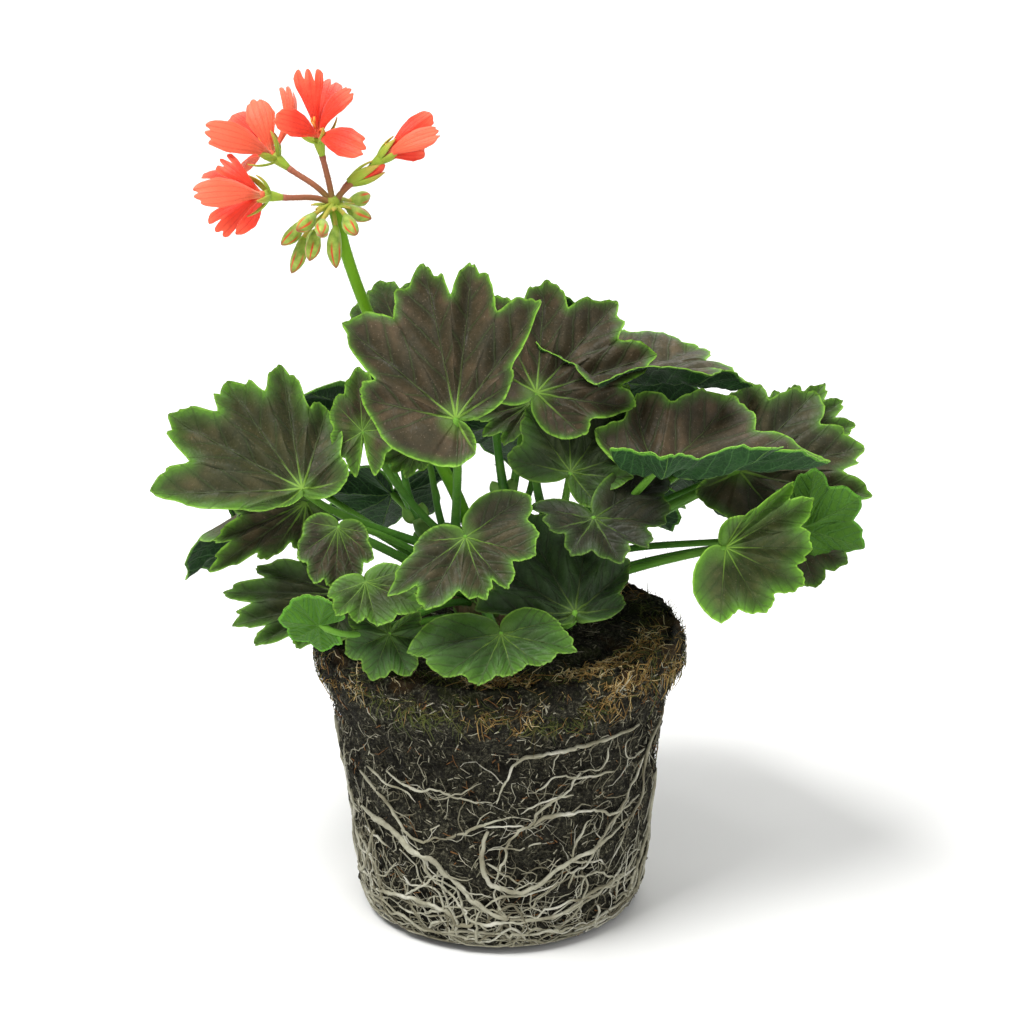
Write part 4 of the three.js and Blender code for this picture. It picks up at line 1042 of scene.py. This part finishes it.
def strands(random, root, way, normal, long, wide, steps=4, curl=0.6, sag=0.0):
    """Curved centre lines and radii of short strands that start at root and head along way."""
    count = len(root)
    length = random.uniform(*long, count)
    turn = random.normal(0, curl, (count, 1)) * np.cross(way, normal)
    turn = turn + random.normal(0, curl * 0.4, (count, 1)) * normal
    u = np.linspace(0, 1, steps)[None, :, None]
    lines = root[:, None] + length[:, None, None] * (way[:, None] * u + turn[:, None] * u * u * 0.6)
    lines[..., 2] -= sag * length[:, None] * u[..., 0] ** 2
    radii = random.uniform(*wide, count)[:, None] * np.linspace(1, 0.45, steps)[None]
    return lines, radii


def waves(lines, size):
    """Small bends for strands, alike for neighbours so that they mat together."""
    grow = np.linspace(0, 1, lines.shape[1])[None, :, None]
    return size * grow * joined(noise(lines, 2.4, 1.3), noise(lines, 2.4, 4.1), noise(lines, 2.4, 7.7))


def hold_in(lines, most):
    """Lines drawn in to at most a distance from the ball's axis."""
    reach = np.hypot(lines[..., 0], lines[..., 1])
    lines[..., :2] *= np.minimum(1, most / np.maximum(reach, 1e-6))[..., None]
    return lines


# Fibres of the peat: those on the side, the short flakes among them and those on the top, and the limits
# that they are held within
SIDE_FIBRES = 10600
FLAKES = 7800
TOP_FIBRES = 1300
FIBRES_FROM = 2.4
TOP_REACH = 54
TOP_LIMIT = 92.5


def hold_to_ball(lines, low, high):
    """Lines with their points kept within a distance range of the ball's side."""
    azimuth = np.arctan2(lines[..., 1], lines[..., 0])
    r = side_radius(azimuth, lines[..., 2])
    off = np.clip(np.hypot(lines[..., 0], lines[..., 1]) - r, low, high)
    return around(r + off, azimuth, np.maximum(lines[..., 2], FIBRES_FROM))


def build_fibres():
    """Thousands of short peat fibres that lie over the ball's side and top."""
    random = np.random.default_rng(21)
    shape = Shape("tint")
    count = SIDE_FIBRES
    azimuth = random.uniform(0, TURN, count)
    height = 2 + 90 * random.random(count) ** 0.75
    normal = around(1, azimuth, 0)
    root = on_side(azimuth, np.clip(height, 3.4, 88), -0.5)
    turn = random.uniform(0, TURN, (count, 1))
    way = np.cos(turn) * unit(np.cross(normal, UP)) + np.sin(turn) * 0.9 * UP
    way = unit(way + random.uniform(0.0, 0.35, (count, 1)) * normal)
    dark = random.random(count) < 0.62
    tint = np.where(dark, random.uniform(0.05, 0.4, count), random.uniform(0.42, 0.93, count))
    tint = np.where(random.random(count) < 0.05, 1.0, tint)
    for part, long, wide, steps in (
        (slice(0, FLAKES), (0.9, 2.6), (0.12, 0.3), 2),
        (slice(FLAKES, count), (2.0, 6.0), (0.09, 0.22), 4),
    ):
        lines, radii = strands(random, root[part], way[part], normal[part], long, wide, steps, curl=0.8)
        shape.tubes(hold_to_ball(lines + waves(lines, 0.7), -0.6, 0.6), radii, 3, tint=tint[part])
    count = TOP_FIBRES
    azimuth = random.uniform(0, TURN, count)
    root = around(TOP_REACH * np.sqrt(random.random(count)), azimuth, 90.0)
    way = unit(around(1, random.uniform(0, TURN, count), random.uniform(0.0, 0.3, count)))
    lines, radii = strands(random, root, way, np.tile(UP, (count, 1)), (1.5, 5), (0.1, 0.25))
    lines = hold_in(lines + waves(lines, 1.2), TOP_REACH)
    lines[..., 2] = np.minimum(lines[..., 2], TOP_LIMIT)
    shape.tubes(lines, radii, 3, tint=random.beta(1.6, 2.0, count) * 0.9)
    shape.build("peat_fibres", [FIBRE], [])


build_fibres()

# Moss on the rim: its strands, the share of them over the front, and how far out and up they may reach
MOSS_STRANDS = 3500
FRONT_SHARE = 0.45
RIM_REACH = 58.3
RIM_LIMIT = 93.6


def build_rim():
    """Moss and curled straw-coloured fibre on the flared rim, thickest over the front."""
    random = np.random.default_rng(33)
    count = MOSS_STRANDS
    azimuth = random.uniform(0, TURN, count)
    in_front = random.random(count) < FRONT_SHARE
    azimuth = np.where(in_front, -TURN / 4 + random.normal(0.35, 0.75, count), azimuth)
    level = random.uniform(0, 1, count) ** 1.3
    ragged = 4 * noise(joined(azimuth * 3, 0, 0), 1)
    z = 84 + ragged * (1 - level) + 8 * np.minimum(1, level * 1.4)
    root = around(57.2 - 13 * level**2 - 0.6, azimuth, z)
    normal = unit(around(1, azimuth, 0.1 + 2.4 * level))
    way = unit(np.cross(normal, UP)) * random.normal(0, 1.0, (count, 1))
    down = random.uniform(-0.9, 0.5, (count, 1)) * UP
    way = unit(way + normal * random.uniform(0.05, 0.4, (count, 1)) + down)
    lines, radii = strands(random, root, way, normal, (1.8, 6.5), (0.09, 0.23), steps=5, curl=1.7, sag=0.1)
    lines = lines + waves(lines, 2.0)
    lines[..., 2] = np.minimum(lines[..., 2], RIM_LIMIT)
    hold_in(lines, np.minimum(RIM_REACH, np.interp(lines[..., 2], SIDE[:, 1], SIDE[:, 0]) + 1.1))
    mossy = noise(root, 15) > 0.25
    straw = 0.55 + 0.55 * noise(root, 9, 4.0)
    tint = np.where(mossy, random.uniform(0.0, 0.4, count), straw + random.normal(0, 0.22, count))
    shape = Shape("tint")
    shape.tubes(lines, radii, 3, tint=np.clip(tint, 0, 1))
    shape.build("rim_moss", [MOSS], ["moss"])


build_rim()

# Roots, as in the part: azimuth in degrees and height, with a half width
RING = [[360 * k / 27, 7 + 1.5 * math.sin(k * 1.3) * math.sin(math.pi * k / 27)] for k in range(28)]
ROOTS = [
    (RING, 0.8),
    ([[-62, 62], [-74, 50], [-86, 42], [-92, 32], [-93, 20], [-84, 7]], 0.6),
    ([[-128, 40], [-114, 26], [-104, 15], [-96, 7], [-84, 6]], 0.6),
    ([[-24, 15], [-50, 17], [-76, 14], [-102, 17], [-128, 15], [-150, 18]], 0.5),
    ([[-30, 58], [-44, 42], [-58, 30], [-70, 22], [-84, 14]], 0.6),
    ([[-8, 46], [-14, 30], [-24, 18], [-32, 7]], 0.9),
    ([[20, 62], [10, 46], [2, 28], [-8, 15], [-14, 7]], 1.0),
    ([[52, 40], [40, 28], [26, 16], [12, 7]], 0.9),
    ([[78, 66], [70, 48], [64, 30], [54, 16], [40, 7]], 1.1),
    ([[104, 42], [94, 30], [86, 16], [74, 7]], 0.9),
    ([[134, 58], [124, 42], [116, 26], [104, 14], [96, 7]], 1.0),
    ([[160, 40], [148, 28], [138, 15], [124, 7]], 0.9),
    ([[188, 64], [180, 46], [172, 28], [160, 14], [150, 7]], 1.1),
    ([[216, 34], [206, 22], [196, 14], [182, 7]], 0.9),
    ([[-6, 24], [20, 30], [44, 22], [72, 28], [98, 22]], 0.7),
]

# The roots that face the viewer, each with a half width, in a view of the ball's front that is
# enlarged from the reference view: across and down from its corner
ROOT_VIEW = dict(across=340, down=740, scale=5.227, firm=770, squash=0.9615)
FRONT_ROOTS = [
    (1.0, [(1290, 505), (1180, 560), (1050, 600), (930, 630), (850, 640), (805, 690), (775, 760),
            (745, 820)]),
    (1.35, [(240, 830), (310, 890), (370, 940), (410, 990), (490, 1040), (560, 1100), (620, 1170),
            (690, 1235), (760, 1270), (870, 1285), (960, 1275)]),
    (0.6, [(330, 690), (400, 745), (470, 770), (540, 775), (620, 805), (730, 820)]),
    (0.55, [(260, 670), (330, 740), (400, 775), (440, 815)]),
    (0.75, [(235, 690), (290, 760), (350, 830), (390, 900), (430, 950), (520, 965), (600, 940), (700, 905),
            (800, 880), (870, 880), (890, 905)]),
    (0.85, [(890, 905), (930, 880), (1020, 865), (1110, 850), (1200, 855), (1290, 790)]),
    (0.5, [(700, 915), (780, 912), (860, 915), (880, 925), (940, 885)]),
    (1.15, [(715, 930), (700, 990), (690, 1040), (705, 1090), (740, 1150), (850, 1170), (900, 1150),
            (960, 1100), (1030, 1050), (1120, 1000), (1200, 930), (1250, 880)]),
    (0.6, [(710, 1060), (780, 1110), (850, 1150)]),
    (0.6, [(1040, 1040), (1050, 980), (1090, 900), (1110, 880)]),
    (0.45, [(715, 1010), (790, 1000), (860, 995), (900, 980), (960, 975)]),
    (1.05, [(290, 1160), (400, 1190), (480, 1215), (560, 1250), (600, 1300), (700, 1300), (850, 1295),
            (940, 1280)]),
    (0.6, [(400, 1185), (470, 1150), (520, 1110), (560, 1110)]),
    (0.8, [(960, 1280), (1040, 1230), (1110, 1170), (1200, 1130), (1290, 1060)]),
    (0.65, [(700, 1240), (760, 1190), (860, 1180), (940, 1160), (1000, 1110)]),
    (0.6, [(1020, 1050), (1100, 1055), (1150, 1050), (1170, 1080)]),
    (0.7, [(200, 760), (210, 850), (200, 960), (230, 1060), (290, 1130), (320, 1190)]),
    (0.6, [(170, 580), (180, 700), (200, 800), (240, 870)]),
    (0.75, [(1385, 440), (1340, 560), (1310, 680), (1300, 800), (1250, 880), (1230, 960), (1190, 1040),
            (1170, 1090)]),
    (0.5, [(1310, 600), (1250, 640), (1240, 590), (1260, 560)]),
    (0.45, [(1170, 600), (1165, 660), (1100, 690), (1050, 695)]),
    (0.55, [(1195, 690), (1080, 720), (960, 720), (900, 780), (860, 780)]),
    (0.5, [(1040, 785), (960, 800), (880, 840), (840, 860)]),
    (0.5, [(290, 1100), (330, 1110), (370, 1050)]),
    (0.5, [(400, 1110), (440, 1150), (500, 1150)]),
    (0.5, [(380, 1230), (470, 1260), (560, 1270), (590, 1330)]),
    (0.7, [(860, 1290), (960, 1270), (1010, 1260), (1100, 1200), (1180, 1140), (1270, 1040), (1300, 960)]),
    (0.45, [(880, 1180), (880, 1230), (940, 1262)]),
    (0.5, [(1020, 1160), (1030, 1110), (1060, 1080)]),
    (0.6, [(250, 910), (300, 960), (350, 1000)]),
    (0.6, [(210, 900), (240, 960), (280, 1040), (310, 1130)]),
]

# Roots are laid out flat, as arc millimetres round a ball of this radius, and height
ARC = 49


def winding(line, size, amount, seed):
    """A flat line with small bends and kinks added, least at its ends."""
    p = joined(line[:, 0], line[:, 1], 7.0 * seed)
    fade = np.sin(np.linspace(0, math.pi, len(line)))[:, None] * 0.6 + 0.4
    bends = joined(noise(p, size, 1.1), noise(p, size, 5.7))
    kinks = joined(noise(p, size / 3, 2.3), noise(p, size / 3, 8.1))
    return line + fade * amount * (bends + 0.55 * kinks)


def evenly(flat, step):
    """A smooth line through flat places, with points a step apart."""
    line = catmull(joined(flat[:, 0], flat[:, 1], 0), 12 * len(flat))
    return spread(line, max(6, int(lengths_along(line)[-1] / step)))[:, :2]


def on_ball(flat, out):
    """Points on the ball from flat places."""
    return on_side(flat[:, 0] / ARC, np.clip(flat[:, 1], 2.4, 88), out)


def seen_on_ball(across, down):
    """The flat place where a sight line of the enlarged view meets the ball."""
    x = ROOT_VIEW["across"] + across / ROOT_VIEW["scale"]
    y = ROOT_VIEW["down"] + down / ROOT_VIEW["scale"]
    y = ROOT_VIEW["firm"] + (y - ROOT_VIEW["firm"]) * ROOT_VIEW["squash"]
    p = np.array([sight(x, y, depth) for depth in np.arange(-64, 1, 0.25)])
    azimuth = np.arctan2(p[:, 1], p[:, 0])
    off = np.hypot(p[:, 0], p[:, 1]) - side_radius(azimuth, p[:, 2])
    met = np.argmax(off <= 0) if (off <= 0).any() else np.argmin(off)
    return azimuth[met] * ARC, p[met, 2]


def add_root(shape, flat, wide, number, fade_in):
    """One main root, thick in its middle and thin at its ends."""
    u = np.linspace(0, 1, len(flat))
    ends = fade_in + (1 - fade_in) * np.minimum(1, np.sin(math.pi * (0.06 + 0.92 * u)) * 1.8)
    rough = joined(flat[:, 0], flat[:, 1], 5.0 * number)
    thick = wide * (0.8 - 0.3 * u) * ends * (1 + 0.3 * noise(rough, 4) + 0.22 * noise(rough, 1.6))
    line = on_ball(flat, 0.25 + thick * 0.3 + 0.25 * noise(rough, 8))
    shape.tubes(line, thick, 8, tint=0.56 + 0.5 * noise(rough, 6, 3.3))
    return thick


# The number of fine roots, and the most half width of a side root
FINE_ROOTS = 500
SIDE_ROOT_LIMIT = 0.36


def build_roots():
    """The main roots with their side roots, and the fine net between them."""
    random = np.random.default_rng(55)
    main = Shape("tint")
    net = Shape("tint")
    lines = []
    for number, (places, wide) in enumerate(ROOTS):
        flat = np.array(places, float) * [math.radians(1) * ARC, 1]
        lines.append((winding(evenly(flat, 1.2), 7, 2.4, number), wide, 1.0 if number == 0 else 0.3))
    for number, (wide, places) in enumerate(FRONT_ROOTS):
        flat = np.array([seen_on_ball(*place) for place in places])
        lines.append((winding(evenly(flat, 0.9), 3.4, 0.85, number), wide * 0.9, 0.3))
    starts = []
    for number, (flat, wide, fade_in) in enumerate(lines):
        thick = add_root(main, flat, wide, number, fade_in)
        share, long = (0.55, (3, 11)) if number >= len(ROOTS) else (0.7, (7, 26))
        for k in range(3, len(flat) - 2, 3):
            if random.random() < share:
                heading = math.atan2(flat[k + 1, 1] - flat[k, 1], flat[k + 1, 0] - flat[k, 0])
                heading += random.choice([-1, 1]) * random.uniform(0.4, 1.0)
                half = min(thick[k] * 0.45, SIDE_ROOT_LIMIT)
                starts.append((flat[k], heading, random.uniform(*long), half))
    main.build("roots_main", [ROOT], ["root_net"])
    for start in starts:
        wander(net, random, *start)
    # fine roots, few at the top and a dense mat at the foot
    for _ in range(FINE_ROOTS):
        start = np.array([random.uniform(0, TURN) * ARC, 3.5 + 62 * random.random() ** 2.3])
        heading = random.choice([0, math.pi]) + random.normal(0, 0.45) - 0.12
        front = abs(start[0] / ARC - 1.5 * math.pi) < 1.1
        if front and start[1] > 16 and random.random() < 0.8:
            continue
        thickest = 0.66 if start[1] < 14 else 0.3
        wander(net, random, start, heading, random.uniform(10, 42), random.uniform(0.12, thickest))
    net.build("roots_fine", [ROOT], [])


WANDER_STEP = 1.8


def wander(shape, random, start, heading, length, thick):
    """One thin root that wanders over the ball, and levels out near its foot."""
    flat = [start]
    for _ in range(max(5, int(length / WANDER_STEP))):
        heading += random.normal(0, 0.42)
        if flat[-1][1] < 7:
            heading -= 0.35 * math.sin(heading)
        if flat[-1][1] > 70:
            heading -= 0.3 * math.cos(heading)
        across, height = flat[-1] + WANDER_STEP * np.array([math.cos(heading), math.sin(heading)])
        flat.append(np.array([across, max(height, 2.8)]))
    flat = np.array(flat)
    u = np.linspace(0, 1, len(flat))
    radii = thick * (1 - 0.55 * u) * np.minimum(1, 0.4 + 4 * u)
    out = 0.15 + 0.6 * noise(joined(flat[:, 0], flat[:, 1], thick * 90), 7) + radii * 0.5
    shape.tubes(on_ball(flat, np.clip(out, -0.5, 0.8)), radii, 4, tint=random.uniform(0.05, 0.9))


build_roots()

# The umbel: its stalk and hub, then each flower's middle, and for each petal its tip, its width and the
# way it bows
HUB = sight(365, 454, -15)
STALK = [
    sight(470, 708, -4), sight(456, 670, -6), sight(437, 632, -9), sight(415, 585, -12),
    sight(390, 533, -14), sight(375, 492, -15), HUB,
]
FORWARD = [0, -1, 0.5]
OVER = [0, -1, 4]
ASIDE = [2, 0, 2]
FLOWERS = {
    "flower_left": (sight(314, 448, -24), [
        (sight(263, 447, -38), 5, FORWARD), (sight(277, 473, -32), 5, FORWARD),
        (sight(282, 421, -22), 4, FORWARD), (sight(270, 430, -10), 4.5, OVER),
        (sight(292, 474, -14), 4.5, ASIDE),
    ]),
    "flower_back": (sight(321, 419, -10), [
        (sight(272, 400, -24), 5, FORWARD), (sight(308, 377, -4), 5, FORWARD),
        (sight(335, 369, 4), 4, ASIDE), (sight(298, 430, 4), 4, OVER), (sight(290, 388, 10), 4.5, FORWARD),
    ]),
    "flower_top": (sight(354, 405, -18), [
        (sight(346, 354, -16), 5, FORWARD), (sight(379, 370, -20), 4.5, [1, -0.5, 2]),
        (sight(387, 414, -34), 5, FORWARD), (sight(324, 391, -30), 4.5, FORWARD),
        (sight(364, 362, 2), 4.5, FORWARD),
    ]),
    "flower_right": (sight(402, 420, -12), [
        (sight(438, 388, -8), 3.6, FORWARD), (sight(443, 402, -16), 3.6, FORWARD),
        (sight(433, 416, -10), 3.2, FORWARD),
    ]),
}
# The buds: each one's middle, the way it points and its length
BUDS = [
    (sight(335, 476, -20), [-0.7, -0.3, -0.7], 9), (sight(345, 468, -26), [-0.5, -0.8, -0.3], 9),
    (sight(339, 492, -17), [-0.35, -0.1, -1], 11), (sight(350, 485, -24), [-0.2, -0.5, -0.9], 9),
    (sight(357, 472, -30), [0, -1, -0.3], 8), (sight(367, 486, -20), [0, -0.2, -1], 12),
    (sight(378, 470, -24), [0.4, -0.7, -0.5], 8), (sight(384, 461, -16), [0.9, -0.2, -0.4], 8),
    (sight(350, 478, -6), [-0.5, 0.7, -0.6], 8), (sight(368, 478, -4), [0.1, 0.8, -0.6], 8),
    (sight(385, 450, -4), [0.8, 0.6, 0.1], 7),
]
BIG_BUD = (sight(389, 433, -13), [0.9, 0, 0.45], 12)

# The ends of the petals, in the order of the table: a rounded end has no notch, and a cut one has some,
# each with its place across and its depth
ROUND = []
NICKED = [(0.12, 0.07), (-0.5, 0.04)]
TOOTHED = [(-0.3, 0.17), (0.36, 0.21)]
SPLIT = [(0.2, 0.2), (-0.5, 0.09)]
PETAL_ENDS = {
    "flower_left": [NICKED, SPLIT, TOOTHED, ROUND, NICKED],
    "flower_back": [NICKED, NICKED, SPLIT, ROUND, ROUND],
    "flower_top": [TOOTHED, NICKED, NICKED, ROUND, SPLIT],
    "flower_right": [ROUND, NICKED, ROUND],
}
DEEP_CUT = 0.1
CUT_WIDTH = 0.13
# The half widths of a rounded and of a deeply cut petal, at these places along it
WIDTHS_AT = [0, 0.12, 0.3, 0.5, 0.7, 0.82, 1]
OVAL = [0.2, 0.26, 0.5, 0.84, 1, 1, 0.9]
WEDGE = [0.16, 0.18, 0.3, 0.56, 0.82, 0.93, 0.98]
PETAL_ROWS = 26
PETAL_COLUMNS = 23


def petal(shape, start, tip, wide, bow, facing, seed, cuts):
    """One petal: a narrow claw that widens to its end, grooved along its veins."""
    ahead = tip - start
    length = np.linalg.norm(ahead)
    ahead = ahead / length
    side = unit(np.cross(ahead, unit(bow)))
    up = np.cross(side, ahead)
    u = np.linspace(0, 1, PETAL_ROWS)[:, None]
    v = np.linspace(-1, 1, PETAL_COLUMNS)[None]
    deep = max([depth for _, depth in cuts], default=0) > DEEP_CUT
    end = 1 - (0.6 if deep else 1.0) * wide / length * (1 - np.sqrt(1 - 0.97 * v * v))
    end = end - 0.05 * np.abs(noise(joined(1.7 * v, seed, 0), 1))
    for place, depth in cuts:
        end = end - depth * np.exp(-(np.abs(v - place) / CUT_WIDTH) ** 1.5)
    along = u * (1 - (1 - end) * smoothstep(0.5, 1, u))
    half = np.interp(u, WIDTHS_AT, WEDGE if deep else OVAL) * wide * 0.88
    flat = joined(u, v, seed * 3.1)
    sag = length * (0.16 * np.sin(math.pi * along) - 0.05 * along) - 0.15 * v * v * wide
    groove = 0.05 * np.cos(v * 11) * smoothstep(0.1, 0.4, u) - 0.25 * np.exp(-((v / 0.12) ** 2)) * (1 - u)
    ruffle = 1.1 * noise(flat, 0.7) * u * u + 0.3 * noise(flat, 0.3) * u**3
    lift = sag + groove + ruffle
    points, faces = sheet(start, (ahead, side, up), along * length, v * half, lift, 0.22 - 0.1 * u)
    over, under = (PETAL_INNER, PETAL_OUTER) if np.dot(up, facing) > 0 else (PETAL_OUTER, PETAL_INNER)
    flat = np.tile(flat.reshape(-1, 3) * [1, 1, 0.2], (2, 1))
    shape.add(points, faces, [over, under, PETAL_OUTER], flat=flat)


STAMENS = 7


def build_flower(name, start, petals, seed):
    """The petals of one flower with its stamens."""
    random = np.random.default_rng(seed)
    shape = Shape("flat", "tint")
    out = unit(start - HUB)
    for k, ((tip, wide, bow), cuts) in enumerate(zip(petals, PETAL_ENDS[name])):
        petal(shape, start, tip, wide, bow, out, seed * 7 + k, cuts)
    core = [start - 0.8 * out, start + 0.8 * out, start + 2.2 * out]
    shape.tubes(core, [1.1, 1.3, 0.7], 10, PETAL_INNER, flat=(0.1, 0, 0))
    u = np.linspace(0, 1, 6)[:, None]
    for _ in range(STAMENS):
        lean = unit(out + 0.3 * random.normal(size=3))
        line = start + u * lean * random.uniform(4.5, 7)
        line = line + u**2 * 0.8 * random.normal(size=3)
        shape.tubes(line, [0.22, 0.2, 0.18, 0.17, 0.42, 0.3], 6, ANTHER, tint=[0.2, 0.2, 0.3, 0.4, 1, 1.0])
    shape.build(name + "_bloom", PETAL_PAINTS, [name])


# A bud's profile, as places along it and shares of its thickness
BUD_PROFILE = np.array([
    [0, 0.3], [0.06, 0.52], [0.2, 0.78], [0.4, 0.98], [0.62, 1], [0.8, 0.74], [0.93, 0.4], [1, 0.1],
])
BUD_ROWS = 16
BUD_SIDES = 20


def bud(shape, middle, way, long, thick, seed, paint=BUD):
    """A closed bud: five green sepals over the petals, with grooves where they meet."""
    side, other = crosswise(way, [0.1, 0.2, 1.0])
    u = np.linspace(0, 1, BUD_ROWS)[:, None]
    turn = (TURN * np.arange(BUD_SIDES) / BUD_SIDES)[None]
    seam = 0.5 + 0.5 * np.cos(5 * turn + seed)
    r = thick * np.interp(u, BUD_PROFILE[:, 0], BUD_PROFILE[:, 1])
    r = r * (1 - 0.16 * seam**2 * np.sin(math.pi * u) + 0.04 * np.sin(2 * turn + seed))
    bowed = 0.05 * long * np.sin(math.pi * u)
    p = middle + ((u - 0.5) * long)[..., None] * way + bowed[..., None] * other
    p = p + (r * np.cos(turn))[..., None] * side + (r * np.sin(turn))[..., None] * other
    faces = [grid_quads(BUD_ROWS, BUD_SIDES, wrap=True), end_caps(BUD_ROWS, BUD_SIDES)]
    shape.add(p, faces, paint, flat=joined(u, seam, float(seed)).reshape(-1, 3))


SEPAL_ROWS = 9
SEPAL_COLUMNS = 5


def sepal(shape, start, ahead, up, long, wide):
    """A narrow pointed sepal."""
    side = unit(np.cross(ahead, up))
    u = np.linspace(0, 1, SEPAL_ROWS)[:, None]
    v = np.linspace(-1, 1, SEPAL_COLUMNS)[None]
    half = wide * np.interp(u, [0, 0.15, 0.45, 0.8, 1], [0.6, 0.9, 1, 0.55, 0.08])
    lift = 0.12 * long * np.sin(math.pi * u * 0.9) - 0.35 * v * v * half
    points, faces = sheet(start, (ahead, side, np.cross(side, ahead)), u * long, v * half, lift, 0.16)
    shape.add(points, faces, SEPAL, tint=np.tile(np.repeat(u, SEPAL_COLUMNS), 2))


def calyx(shape, root, way, phase, part, hug, long, wide):
    """A ring of five sepals that lean from a way by a share part, against a share hug along it."""
    side, other = crosswise(way)
    for k in range(5):
        a = TURN * k / 5 + phase
        off = math.cos(a) * side + math.sin(a) * other
        sepal(shape, root + off * 1.1, unit(off * part + way * hug), off, long, wide)


def branch(shape, random, end, way, radii, paint, hairy):
    """A flower's own thin stalk, from the hub out to its end."""
    way = unit(way)
    start = HUB + way
    far = np.linalg.norm(end - start)
    leaving = way * 0.3 * far
    line = bezier(start, start + leaving + 0.15 * far * UP, end - leaving, end, 14)
    thick = np.linspace(*radii, len(line))
    thick[0] *= 1.3
    thick[-2:] *= 1.15
    tint = np.linspace(0.25, 1, len(line))
    shape.tubes(line, thick, 10, paint, tint=tint)
    hairs(shape, random, line, thick, hairy, (0.3, 0.9), paint, tint)


def build_stalk(random):
    """The long green stalk with its hairs."""
    stalk = Shape("tint")
    line = spread(catmull(STALK, 80), 60)
    tint = np.linspace(0, 1, len(line))
    thick = np.interp(tint, [0, 0.35, 0.8, 1], [2.0, 1.85, 1.7, 1.85])
    thick[0] *= 1.2
    stalk.tubes(line, thick, 16, STALK_GREEN, tint=tint)
    hairs(stalk, random, line, thick, 420, (0.5, 1.2), STALK_GREEN, tint)
    stalk.build("stalk", STALK_PAINTS, ["flower_stalk"])


def build_umbel(random):
    """The hub with its bracts, and the branches, cups and closed buds on it."""
    umbel = Shape("flat", "tint")
    umbel.tubes([HUB + z * UP for z in (-2.2, -0.6, 1.2, 2.2)], [1.8, 2.2, 2.0, 1.0], 12, SEPAL, tint=0.1)
    for k in range(7):
        a = TURN * k / 7 + 0.3
        out = np.array([math.cos(a), math.sin(a), 0.25])
        sepal(umbel, HUB + out * 1.6 - [0, 0, 0.8], unit(out + [0, 0, -0.35]), UP, 5.0, 1.3)
    for name, (start, _) in FLOWERS.items():
        out = unit(start - HUB)
        branch(umbel, random, start - out * 6, out, (0.9, 0.85), BRANCH, 40)
        cup = [start - out * f for f in (6.4, 5, 3.2, 1.0, 0.2)]
        umbel.tubes(cup, [0.85, 1.15, 1.5, 1.75, 1.4], 12, SEPAL, tint=0.35)
        calyx(umbel, start - out * 2.2, out, 0.5, 0.1 if name == "flower_right" else 0.6, 0.75, 8.4, 1.15)
    for number, (middle, way, long) in enumerate(BUDS):
        way = unit(way)
        branch(umbel, random, middle - way * (long / 2 - 0.5), way, (0.7, 0.62), SEPAL, 24)
        bud(umbel, middle, way, long, 2.25, number)
        cup = [middle - way * (long / 2 - f) for f in (-0.4, 0.7, 1.8)]
        umbel.tubes(cup, [0.7, 1.15, 1.25], 10, SEPAL, tint=0.2)
    middle, way, long = BIG_BUD
    way = unit(way)
    branch(umbel, random, middle - way * (long / 2 - 0.5), way, (0.8, 0.7), BRANCH, 30)
    umbel.build("umbel_branches", STALK_PAINTS, [])


def build_big_bud():
    """The big bud, with sepals that begin to part over its petals."""
    middle, way, long = BIG_BUD
    way = unit(way)
    shape = Shape("flat", "tint")
    bud(shape, middle + 0.3 * way, way, long, 2.35, 3, paint=len(STALK_PAINTS))
    calyx(shape, middle - way * (long / 2 - 0.3), way, 0.9, 0.08, 1, long * 0.9, 1.5)
    shape.build("bud_opening", STALK_PAINTS + [PETAL_PAINTS[PETAL_INNER]], ["big_bud"])


for number, (name, (start, petals)) in enumerate(FLOWERS.items()):
    build_flower(name, start, petals, number + 1)
stalk_random = np.random.default_rng(77)
build_stalk(stalk_random)
build_umbel(stalk_random)
build_big_bud()

# The floor and the lamps, in metres: each lamp's place, size and power in watts
FLOOR_RADIUS = 6
JUST_UNDER = (0, 0, -0.0002)
LAMPS = {
    "key": ((-1.5, -1.1, 4.0), 2.2, 215),
    "fill": ((2.4, -3.1, 2.1), 2.9, 36),
    "back": ((0.7, 4.0, 3.6), 3.3, 112),
}
LAMPS_AIM = (0, 0, 0.13)


def floor_and_light():
    """A plain pale floor just under the part, three soft lamps and a white surround."""
    round_plate = dict(vertices=96, radius=FLOOR_RADIUS, fill_type="NGON")
    bpy.ops.mesh.primitive_circle_add(**round_plate, location=JUST_UNDER)
    floor = bpy.context.object
    floor.name = "floor"
    paint = Paint("floor", roughness=0.9, specular=0.1)
    colour = paint.ramp(paint.cloud(0.8, 2), (0.0, 238, 238, 236), (1.0, 243, 243, 241))
    floor.data.materials.append(paint.finish(colour))
    world = bpy.data.worlds.new("world")
    bpy.context.scene.world = world
    world.use_nodes = True
    world.node_tree.nodes["Background"].inputs["Color"].default_value = (1, 1, 1, 1)
    world.node_tree.nodes["Background"].inputs["Strength"].default_value = 0.5
    for name, (place, size, power) in LAMPS.items():
        lamp = link_new(name, bpy.data.lights.new(name, "AREA"))
        lamp.data.size = size
        lamp.data.energy = power
        aim(lamp, place, LAMPS_AIM)


floor_and_light()
bpy.context.scene.view_settings.view_transform = "Standard"
